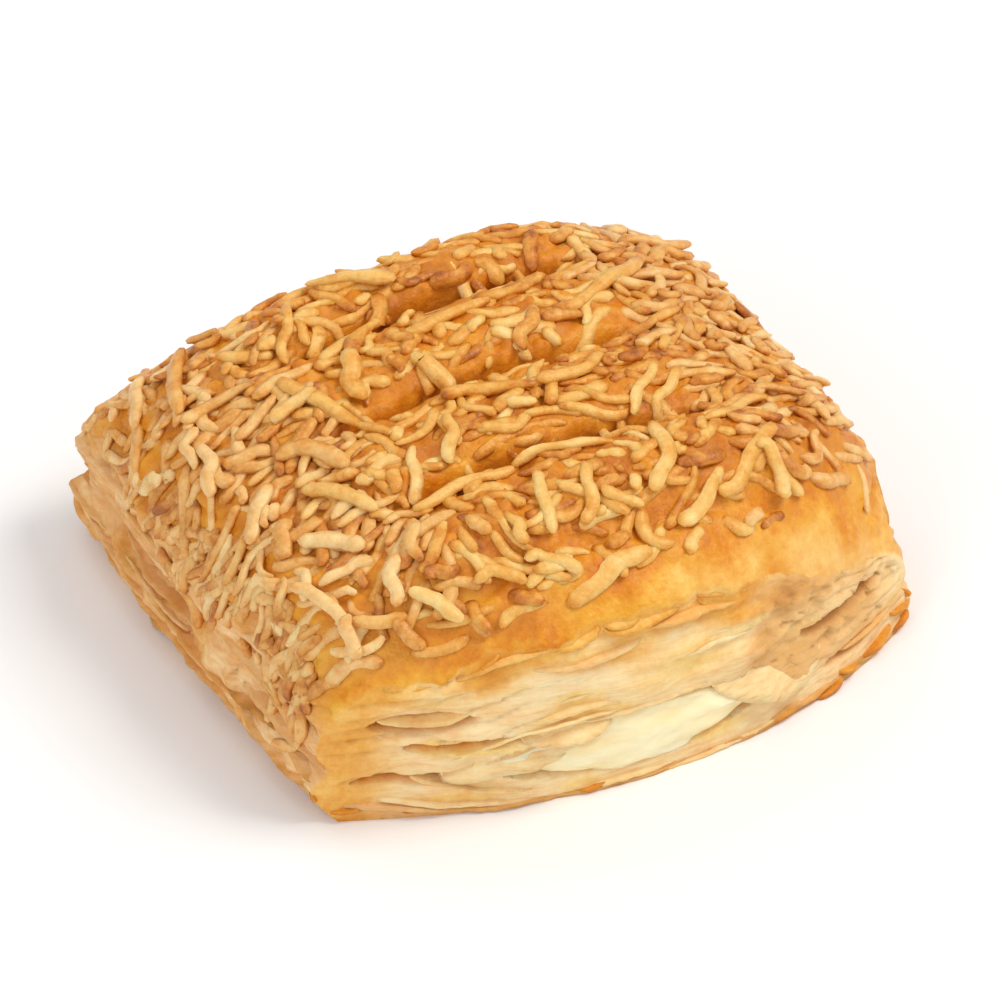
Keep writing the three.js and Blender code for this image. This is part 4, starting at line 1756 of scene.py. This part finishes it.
    def spread_film(self, middles: Array) -> None:
        """Raises and marks the crust near the shreds, where melted cheese has run out.

        A ring round each is baked darker: painted contact shade, partly oil.

        Args:
            middles: Places along all shreds in millimetres.
        """
        ground = self.ground
        film = np.zeros(ground.cells)
        reach = round(2 * self.film_reach / ground.cell)
        for middle in middles:
            cells, gap = ground.around(middle, reach)
            film[cells] = np.maximum(film[cells], np.exp(-(gap / self.film_reach) ** 2))
        places = SHIFT.read(self.case)
        x, y, z = places.T
        open_above = np.abs(z - ground.read(ground.crust, x, y)) < 1.2
        share = np.where(open_above, ground.read(film, x, y), 0)
        z += self.film_height * share * np.clip(0.65 + 0.7 * NOISE.at(places, 3.5), 0, 1)
        SHIFT.write(self.case, places)
        write_value(self.case, "film", share * np.clip(0.6 + 0.9 * NOISE.at(places, 4.5), 0, 1))
        # A ring round each shred is baked darker: painted contact shade, partly oil.
        oily = smoothstep(share, 0.15, 0.55) * (1 - smoothstep(share, 0.75, 1.0))
        bake = np.empty(len(places))
        values = self.case.attributes["bake"].data
        values.foreach_get("value", bake)
        values.foreach_set("value", np.clip(bake + self.rim_bake * oily, 0, 1))

    def build(self) -> bpy.types.Mesh:
        """Hangs shreds on the walls, scatters more over the crust and lays the clearest on top.

        Returns:
            All shreds as one mesh.
        """
        draw = self.draw
        wall = Wall(Route.SEALED)
        hung, laid = Rod(self.sides, self.hung_parts), Rod(self.sides, self.laid_parts)
        middles = []
        for low, high, lowest, count in self.spilled:
            for _ in range(count):
                middle, up = self.hang(wall, low, high, lowest)
                self.shape_shred(hung, middle, up, draw.uniform(0.7, 1.05), draw.uniform(0.18, 0.5))
        for sprinkle in self.sprinkles:
            rod = Rod(self.sides, sprinkle.parts)
            for _ in range(sprinkle.count):
                paths = [self.scattered_path(sprinkle) for _ in range(self.tries)]
                fits = [(self.fit(path, sprinkle), number) for number, path in enumerate(paths)]
                best, number = min(fits)
                if best == math.inf:
                    continue
                scale = draw.uniform(0.68, 1.12)
                middle, up = self.drape(paths[number], self.half_thickness * scale)
                middles.append(middle)
                self.shape_shred(rod, middle, up, scale, draw.uniform(0.08, 0.44))
        for *points, scale in self.laid:
            middle, up = self.drape(self.laid_path(points), self.half_thickness * scale)
            middles.append(middle)
            self.shape_shred(laid, middle, up, scale, draw.uniform(0.05, 0.25))
        self.spread_film(np.concatenate(middles))
        mesh = bpy.data.meshes.new("grated_cheese")
        table = np.concatenate(self.shreds)
        mesh.from_pydata(table[:, :3].tolist(), [], self.faces)
        SHIFT.write(mesh, table[:, :3])
        for name, values in zip(("tone", "golden", "toast"), table[:, 3:].T):
            write_value(mesh, name, values)
        return mesh

    def shape_shred(self, rod: Rod, middle: Array, up: Array, scale: float, toasted: float) -> None:
        """Bends a rod to a path and adds it to the shreds.

        Args:
            rod: The straight rod.
            middle: Places along the shred's middle in millimetres.
            up: Directions away from what it lies on.
            scale: Its thickness against that of a usual shred.
            toasted: How toasted it is, at its palest.
        """
        draw = self.draw
        along = np.gradient(middle, axis=0)
        along /= np.linalg.norm(along, axis=1, keepdims=True)
        across = np.cross(along, up)
        across /= np.linalg.norm(across, axis=1, keepdims=True)
        share = rod.share
        thin = draw.uniform(0.6, 1.0)
        taper = mix(1.0, thin, share if draw.random() < 0.5 else 1 - share)
        own = np.full_like(share, len(self.shreds) * 7.0)
        shred = np.stack([share * 9, rod.side, own], axis=1)
        lumps = 1 + 0.2 * NOISE.at(shred, 2.2) + 0.14 * NOISE.at(shred, 1.0)
        ends = np.clip(1 - np.abs(2 * share - 1) ** 9, 0, 1) ** 0.5
        girth = np.maximum(ends, 0.62) * taper * lumps * scale
        points = (
            middle[rod.ring]
            + along[rod.ring] * (rod.tip * 0.35 * self.half_width * scale)[:, None]
            + across[rod.ring] * (rod.side * self.half_width * girth)[:, None]
            + up[rod.ring] * (rod.rise * self.half_thickness * girth)[:, None]
        )
        base = sum(len(other) for other in self.shreds)
        self.faces.extend(tuple(v + base for v in face) for face in rod.faces)
        golden = 1 - smoothstep(abs(middle[:, 0].mean()) + draw.normal(0, 5), 16, 30)
        tone, tips = draw.random(), np.abs(2 * share - 1) ** 4
        toast = toasted + draw.uniform(0.0, 0.3) * tips + 0.24 * NOISE.at(shred, 2.6)
        # Undersides are toasted darker: painted contact shade; the browner tops are real toasting.
        toast += 0.08 * golden + 0.1 * rod.rise + 0.3 * np.clip(-rod.rise, 0, 1)
        shown = (np.full_like(share, tone), np.full_like(share, mix(0.15, 0.75, golden)))
        self.shreds.append(np.column_stack([points, *shown, np.clip(toast, 0, self.most_toasted)]))

    def dress(self, finish: bpy.types.Material) -> bpy.types.Object:
        """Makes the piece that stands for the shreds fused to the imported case."""
        return make_piece(self.build(), finish, "puff_pastry")


def add_node(
    tree: bpy.types.NodeTree,
    kind: str,
    settings: dict[str | int, object] | None = None,
    links: dict[str | int, bpy.types.NodeSocket] | None = None,
    out: str | int = 0,
) -> bpy.types.NodeSocket | None:
    """Adds a node with its settings and its incoming links.

    Args:
        tree: Node tree of a material or of the world.
        kind: The node's type, without the word ShaderNode before it.
        settings: Property names or inputs with their values. The name stops takes a colour
            ramp's stops as pairs of a place and a hex colour.
        links: Inputs with the sockets that feed them.
        out: The output that is wanted.

    Returns:
        That output, or None for a node that has none.
    """
    node = tree.nodes.new("ShaderNode" + kind)
    for name, value in (settings or {}).items():
        if name == "stops":
            ramp = node.color_ramp.elements
            while len(ramp) < len(value):
                ramp.new(0.5)
            for element, (place, colour) in zip(ramp, value):
                element.position = place
                element.color = linear(colour)
        elif isinstance(name, str) and name in node.bl_rna.properties:
            setattr(node, name, value)
        else:
            node.inputs[name].default_value = value
    for name, source in (links or {}).items():
        tree.links.new(source, node.inputs[name])
    return node.outputs[out] if node.outputs else None


def new_material(name: str) -> tuple[bpy.types.Material, partial]:
    """Starts an empty node material.

    Args:
        name: The material's name.

    Returns:
        The material, and the call that adds nodes to it.
    """
    material = bpy.data.materials.new(name)
    material.use_nodes = True
    material.node_tree.nodes.clear()
    return material, partial(add_node, material.node_tree)


def per_metre(size_mm: float) -> float:
    """Turns the real size of a pattern's grain to the scale that a texture takes."""
    return 1 / (size_mm * MM)


@dataclass(frozen=True)
class BakedPuffPastry:
    """Laminated butter dough, rolled, washed with egg on top and baked.

    The egg wash bakes to a glossy golden film that browns most on crests and blisters. Where
    the layers show at the sides and in the tear the dough is matt, pale and slightly
    see-through, and it browns only along its thin edges. Its bake also darkens the case in
    the slashes, creases and torn recesses, as painted shade, and round the shreds, as painted
    shade and oil.

    Attributes:
        washed: Colours of washed crust, from hardly baked to dark.
        bare: The same for bare dough.
        film: Colour of the film of melted cheese.
        airy: Colour of the airy dough.
        film_cover: Share of the colour below that the film hides.
        airy_cover: The same for the airy dough.
        streaking: How unevenly the layers have browned.
        mottling: How unevenly the broad mottles have.
        speckling: How unevenly the speckles have.
        mottle_mm: Width of a mottle.
        speckle_mm: Width of a speckle.
        grain_mm: Width of a crumb, which is finer than the render can show, so it is drawn as
            coarse as it needs to show.
        layer_mm: Thickness of a baked layer.
        relief_mm: Depth of the speckles and the layers.
        grain_relief_mm: Depth of the crumb.
        bare_roughness: Roughness of bare dough.
        washed_roughness: Roughness of washed crust.
    """

    washed: Stops = (
        (0.0, "f9de92"), (0.2, "f5c85c"), (0.42, "eba62c"), (0.6, "dd8612"), (0.8, "bc620a"),
        (1.0, "7c3c0a"),
    )
    bare: Stops = (
        (0.0, "fdebbc"), (0.18, "f8d69e"), (0.36, "ecb97c"), (0.58, "d89a4c"), (0.8, "ac7028"),
        (1.0, "7c4814"),
    )
    film: str = "dc9534"
    airy: str = "e8bf80"
    film_cover: float = 0.55
    airy_cover: float = 0.5
    streaking: float = 0.5
    mottling: float = 0.5
    speckling: float = 0.48
    mottle_mm: float = 5.0
    speckle_mm: float = 1.1
    grain_mm: float = 0.35
    layer_mm: float = 0.55
    relief_mm: float = 0.36
    grain_relief_mm: float = 0.05
    bare_roughness: float = 0.72
    washed_roughness: float = 0.4

    def make(self) -> bpy.types.Material:
        """Builds the node material.

        Returns:
            The material.
        """
        material, add = new_material("baked puff pastry")
        place = add("TexCoord", out="Object")
        # The bake read here holds browning and painted shade in the case's recesses.
        bake, washed, airy, film = (
            add("Attribute", {"attribute_name": name}, out="Fac")
            for name in ("bake", "washed", "airy", "film")
        )
        flat = add("Mapping", {"Scale": (0.16, 0.16, 1.0)}, {"Vector": place})
        mottle, speckle, layers, grain = (
            add(
                "TexNoise",
                {"Scale": per_metre(size), "Detail": detail, "Roughness": rough},
                {"Vector": vector},
            )
            for size, detail, rough, vector in (
                (self.mottle_mm, 5.0, 0.6, place),
                (self.speckle_mm, 4.0, 0.65, place),
                (self.layer_mm, 4.0, 0.6, flat),
                (self.grain_mm, 3.0, 0.5, place),
            )
        )
        mottled, speckled, streaked = (
            add("Math", {"operation": "MULTIPLY_ADD", 1: amount, 2: -amount / 2}, {0: noise})
            for noise, amount in (
                (mottle, self.mottling), (speckle, self.speckling), (layers, self.streaking)
            )
        )
        both = add("Math", {"operation": "ADD"}, {0: mottled, 1: speckled})
        strength = add("Math", {"operation": "MULTIPLY_ADD", 1: 0.6, 2: 0.4}, {0: washed})
        bare = add("Math", {"operation": "SUBTRACT", 0: 1.0}, {1: washed})
        layered_bake = add("Math", {"operation": "MULTIPLY_ADD"}, {0: streaked, 1: bare, 2: bake})
        shade = add(
            "Math",
            {"operation": "MULTIPLY_ADD", "use_clamp": True},
            {0: both, 1: strength, 2: layered_bake},
        )
        golden = add("ValToRGB", {"stops": self.washed}, {"Fac": shade})
        pale = add("ValToRGB", {"stops": self.bare}, {"Fac": shade})
        colour = add("Mix", {"data_type": "RGBA"}, {"Factor": washed, 6: pale, 7: golden}, out=2)
        tints = ((airy, self.airy_cover, self.airy), (film, self.film_cover, self.film))
        for amount, cover, tint in tints:
            share = add("Math", {"operation": "MULTIPLY", 1: cover}, {0: amount})
            tinted = {"data_type": "RGBA", 7: linear(tint)}
            colour = add("Mix", tinted, {"Factor": share, 6: colour}, out=2)
        relief = add("Mix", {"data_type": "FLOAT"}, {"Factor": washed, 2: layers, 3: speckle})
        fine = add("Bump", {"Strength": 0.5, "Distance": self.grain_relief_mm * MM}, {"Height": grain})
        bump = add(
            "Bump",
            {"Strength": 0.85, "Distance": self.relief_mm * MM},
            {"Height": relief, "Normal": fine},
        )
        roughness = {"To Min": self.bare_roughness, "To Max": self.washed_roughness}
        gloss = add("MapRange", roughness, {"Value": washed})
        surface = add(
            "BsdfPrincipled",
            {
                "IOR": 1.45,
                "Specular IOR Level": 0.4,
                "Subsurface Weight": 0.12,
                "Subsurface Radius": (1.0, 0.6, 0.3),
                "Subsurface Scale": 1.4 * MM,
            },
            {"Base Color": colour, "Roughness": gloss, "Normal": bump},
        )
        add("OutputMaterial", None, {"Surface": surface})
        return material


@dataclass(frozen=True)
class SoftWhiteCheese:
    """Soft cream cheese, warmed in the oven and torn: smooth, moist and faintly see-through.

    Attributes:
        body: Colour of most of it.
        smear: Colour of the streaks that the tearing left.
        smear_mm: Width of a streak.
        smear_relief_mm: Depth of a streak.
    """

    body: str = "fff3cc"
    smear: str = "ffe4a6"
    smear_mm: float = 3.2
    smear_relief_mm: float = 0.25

    def make(self) -> bpy.types.Material:
        """Builds the node material.

        Returns:
            The material.
        """
        material, add = new_material("soft white cheese")
        place = add("TexCoord", out="Object")
        drawn = add("Mapping", {"Scale": (0.45, 0.45, 1.3)}, {"Vector": place})
        streaks = add(
            "TexNoise",
            {"Scale": per_metre(self.smear_mm), "Detail": 5.0, "Distortion": 0.6},
            {"Vector": drawn},
        )
        colour = add("ValToRGB", {"stops": ((0.3, self.body), (0.75, self.smear))}, {"Fac": streaks})
        bump = add("Bump", {"Strength": 0.5, "Distance": self.smear_relief_mm * MM}, {"Height": streaks})
        surface = add(
            "BsdfPrincipled",
            {
                "Roughness": 0.36,
                "IOR": 1.42,
                "Subsurface Weight": 0.3,
                "Subsurface Radius": (1.0, 0.8, 0.5),
                "Subsurface Scale": 2.5 * MM,
            },
            {"Base Color": colour, "Normal": bump},
        )
        add("OutputMaterial", None, {"Surface": surface})
        return material


@dataclass(frozen=True)
class ToastedGratedCheese:
    """Hard yellow cheese, grated, half melted and toasted: waxy, crumbly, browner at its tips.

    Attributes:
        pale: Colours of the shreds near the sides, from untoasted to dark.
        golden: The same along the middle, where the cheese is yellower.
        freckle_mm: Width of a toasted freckle.
        crumb_mm: Width of a crumb of a shred's skin.
        freckle_relief_mm: Depth of a freckle.
        crumb_relief_mm: Depth of a crumb.
    """

    pale: Stops = ((0.0, "f7d598"), (0.35, "edbb78"), (0.6, "e09f4e"), (0.8, "c67a32"), (1.0, "9a5420"))
    golden: Stops = (
        (0.0, "f8d486"), (0.35, "efba5a"), (0.6, "e39c34"), (0.8, "cc781c"), (1.0, "9e5212")
    )
    freckle_mm: float = 2.4
    crumb_mm: float = 0.75
    freckle_relief_mm: float = 0.12
    crumb_relief_mm: float = 0.22

    def make(self) -> bpy.types.Material:
        """Builds the node material.

        Returns:
            The material.
        """
        material, add = new_material("toasted grated cheese")
        place = add("TexCoord", out="Object")
        # The toasting read here also holds painted shade on the shreds' undersides.
        tone, shade, hue = (
            add("Attribute", {"attribute_name": name}, out="Fac") for name in ("tone", "toast", "golden")
        )
        freckles, crumbs = (
            add(
                "TexNoise",
                {"Scale": per_metre(size), "Detail": detail, "Roughness": rough},
                {"Vector": place},
            )
            for size, detail, rough in ((self.freckle_mm, 4.0, 0.6), (self.crumb_mm, 3.0, 0.7))
        )
        for source, amount, middle in ((tone, 0.34, 0.5), (freckles, 0.9, 0.4), (crumbs, 0.5, 0.5)):
            spread = {"operation": "MULTIPLY_ADD", 1: amount, 2: -amount * middle}
            varied = add("Math", spread, {0: source})
            shade = add("Math", {"operation": "ADD"}, {0: varied, 1: shade})
        pale = add("ValToRGB", {"stops": self.pale}, {"Fac": shade})
        golden = add("ValToRGB", {"stops": self.golden}, {"Fac": shade})
        colour = add("Mix", {"data_type": "RGBA"}, {"Factor": hue, 6: pale, 7: golden}, out=2)
        relief = {"Strength": 0.6, "Distance": self.freckle_relief_mm * MM}
        broad = add("Bump", relief, {"Height": freckles})
        bump = add(
            "Bump",
            {"Strength": 0.9, "Distance": self.crumb_relief_mm * MM},
            {"Height": crumbs, "Normal": broad},
        )
        surface = add(
            "BsdfPrincipled",
            {
                "Roughness": 0.36,
                "IOR": 1.45,
                "Subsurface Weight": 0.15,
                "Subsurface Radius": (1.0, 0.6, 0.3),
                "Subsurface Scale": 1.2 * MM,
            },
            {"Base Color": colour, "Normal": bump},
        )
        add("OutputMaterial", None, {"Surface": surface})
        return material


@dataclass(frozen=True)
class Softbox:
    """A soft square studio light.

    Attributes:
        name: The light's name.
        place: Where it stands, in metres.
        size: Its width in metres.
        watts: Its power.
        tint: Its colour as sRGB hex.
    """

    name: str
    place: tuple[float, float, float]
    size: float
    watts: float
    tint: str = "ffffff"

    def make(self, target: Vector) -> None:
        """Adds the light.

        Args:
            target: The point that it is turned to, in metres.
        """
        data = bpy.data.lights.new(self.name, "AREA")
        data.size = self.size
        data.energy = self.watts
        data.color = linear(self.tint)[:3]
        light = bpy.data.objects.new(self.name, data)
        light.location = self.place
        light.rotation_euler = (target - Vector(self.place)).to_track_quat("-Z", "Y").to_euler()
        bpy.context.scene.collection.objects.link(light)


@dataclass
class Studio:
    """The plain pale floor, the soft lights and the camera.

    Attributes:
        azimuth: Degrees that the camera stands to the right of the tear's front.
        elevation: Degrees that it looks down.
        distance: How far it stands from the pastry, in metres.
        view_width: Width of what it sees at the pastry, in metres.
        sensor_mm: Width of its sensor.
        aim: The point that it and the lights aim at, in metres.
        floor_half: Half of the floor's width in metres.
        room_light: Strength of the even light of the room.
        lights: The lights.
    """

    azimuth: float = -29.0
    elevation: float = 38.0
    distance: float = 1.06
    view_width: float = 0.118
    sensor_mm: float = 36.0
    aim: tuple[float, float, float] = (0.0, 0.0016, 0.013)
    floor_half: float = 3.0
    room_light: float = 0.55
    lights: tuple[Softbox, ...] = (
        Softbox("right softbox", (0.45, -0.2, 0.7), 0.4, 4.2, "fffaf2"),
        Softbox("rear softbox", (-0.1, 0.6, 0.6), 0.5, 1.0),
        Softbox("left softbox", (-0.6, -0.3, 0.4), 0.4, 1.5),
    )

    def add_floor(self) -> None:
        """Adds the floor, a wide matt sheet."""
        shape = bmesh.new()
        bmesh.ops.create_grid(shape, x_segments=1, y_segments=1, size=self.floor_half)
        mesh = mesh_of(shape, "pale_floor")
        material, add = new_material("matt white paper")
        paper = {"Base Color": linear("f6f6f7"), "Roughness": 0.8, "Specular IOR Level": 0.2}
        add("OutputMaterial", None, {"Surface": add("BsdfPrincipled", paper)})
        mesh.materials.append(material)
        floor = bpy.data.objects.new(mesh.name, mesh)
        bpy.context.scene.collection.objects.link(floor)

    def add_world(self) -> None:
        """Adds the even white light of the room."""
        world = bpy.data.worlds.new("white room")
        world.use_nodes = True
        world.node_tree.nodes.clear()
        add = partial(add_node, world.node_tree)
        glow = add("Background", {"Color": linear("ffffff"), "Strength": self.room_light})
        add("OutputWorld", None, {"Surface": glow})
        bpy.context.scene.world = world

    def add_camera(self) -> None:
        """Adds the camera at the photograph's viewing angle."""
        turn, rise = math.radians(self.azimuth), math.radians(self.elevation)
        level = math.cos(rise)
        back = Vector((math.sin(turn) * level, -math.cos(turn) * level, math.sin(rise)))
        data = bpy.data.cameras.new("camera")
        data.sensor_width = self.sensor_mm
        data.lens = self.sensor_mm * self.distance / self.view_width
        camera = bpy.data.objects.new("camera", data)
        camera.location = Vector(self.aim) + back * self.distance
        camera.rotation_euler = (-back).to_track_quat("-Z", "Y").to_euler()
        bpy.context.scene.collection.objects.link(camera)
        bpy.context.scene.camera = camera

    def set_up(self) -> None:
        """Adds the whole studio."""
        self.add_floor()
        self.add_world()
        self.add_camera()
        for light in self.lights:
            light.make(Vector(self.aim))
        bpy.context.scene.view_settings.view_transform = "Standard"


def report(piece: bpy.types.Object) -> None:
    """Logs a finished piece with its number of faces."""
    log.info("%s: %d faces", piece.name, len(piece.data.polygons))


def main() -> None:
    """Builds the pastry piece by piece, then the studio."""
    logging.basicConfig(level=logging.INFO, format="%(name)s %(message)s")
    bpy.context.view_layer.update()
    dough = BakedPuffPastry().make()
    case = make_piece(PastryCase().build(), dough, "puff_pastry")
    report(case)
    report(LeafSheaf("sealed_side_layers", Route.SEALED, sealed_leaves()).dress(dough))
    report(LeafSheaf("torn_layers", Route.TEAR, torn_leaves(), root=2.4).dress(dough))
    report(LeafSheaf("crust_edges", Route.TEAR, crust_leaves(), root=2.0, thickness=0.45).dress(dough))
    report(SoftCheeseBand().dress(SoftWhiteCheese().make()))
    report(GratedCheese(case.data).dress(ToastedGratedCheese().make()))
    Studio().set_up()


if __name__ == "__main__":
    main()
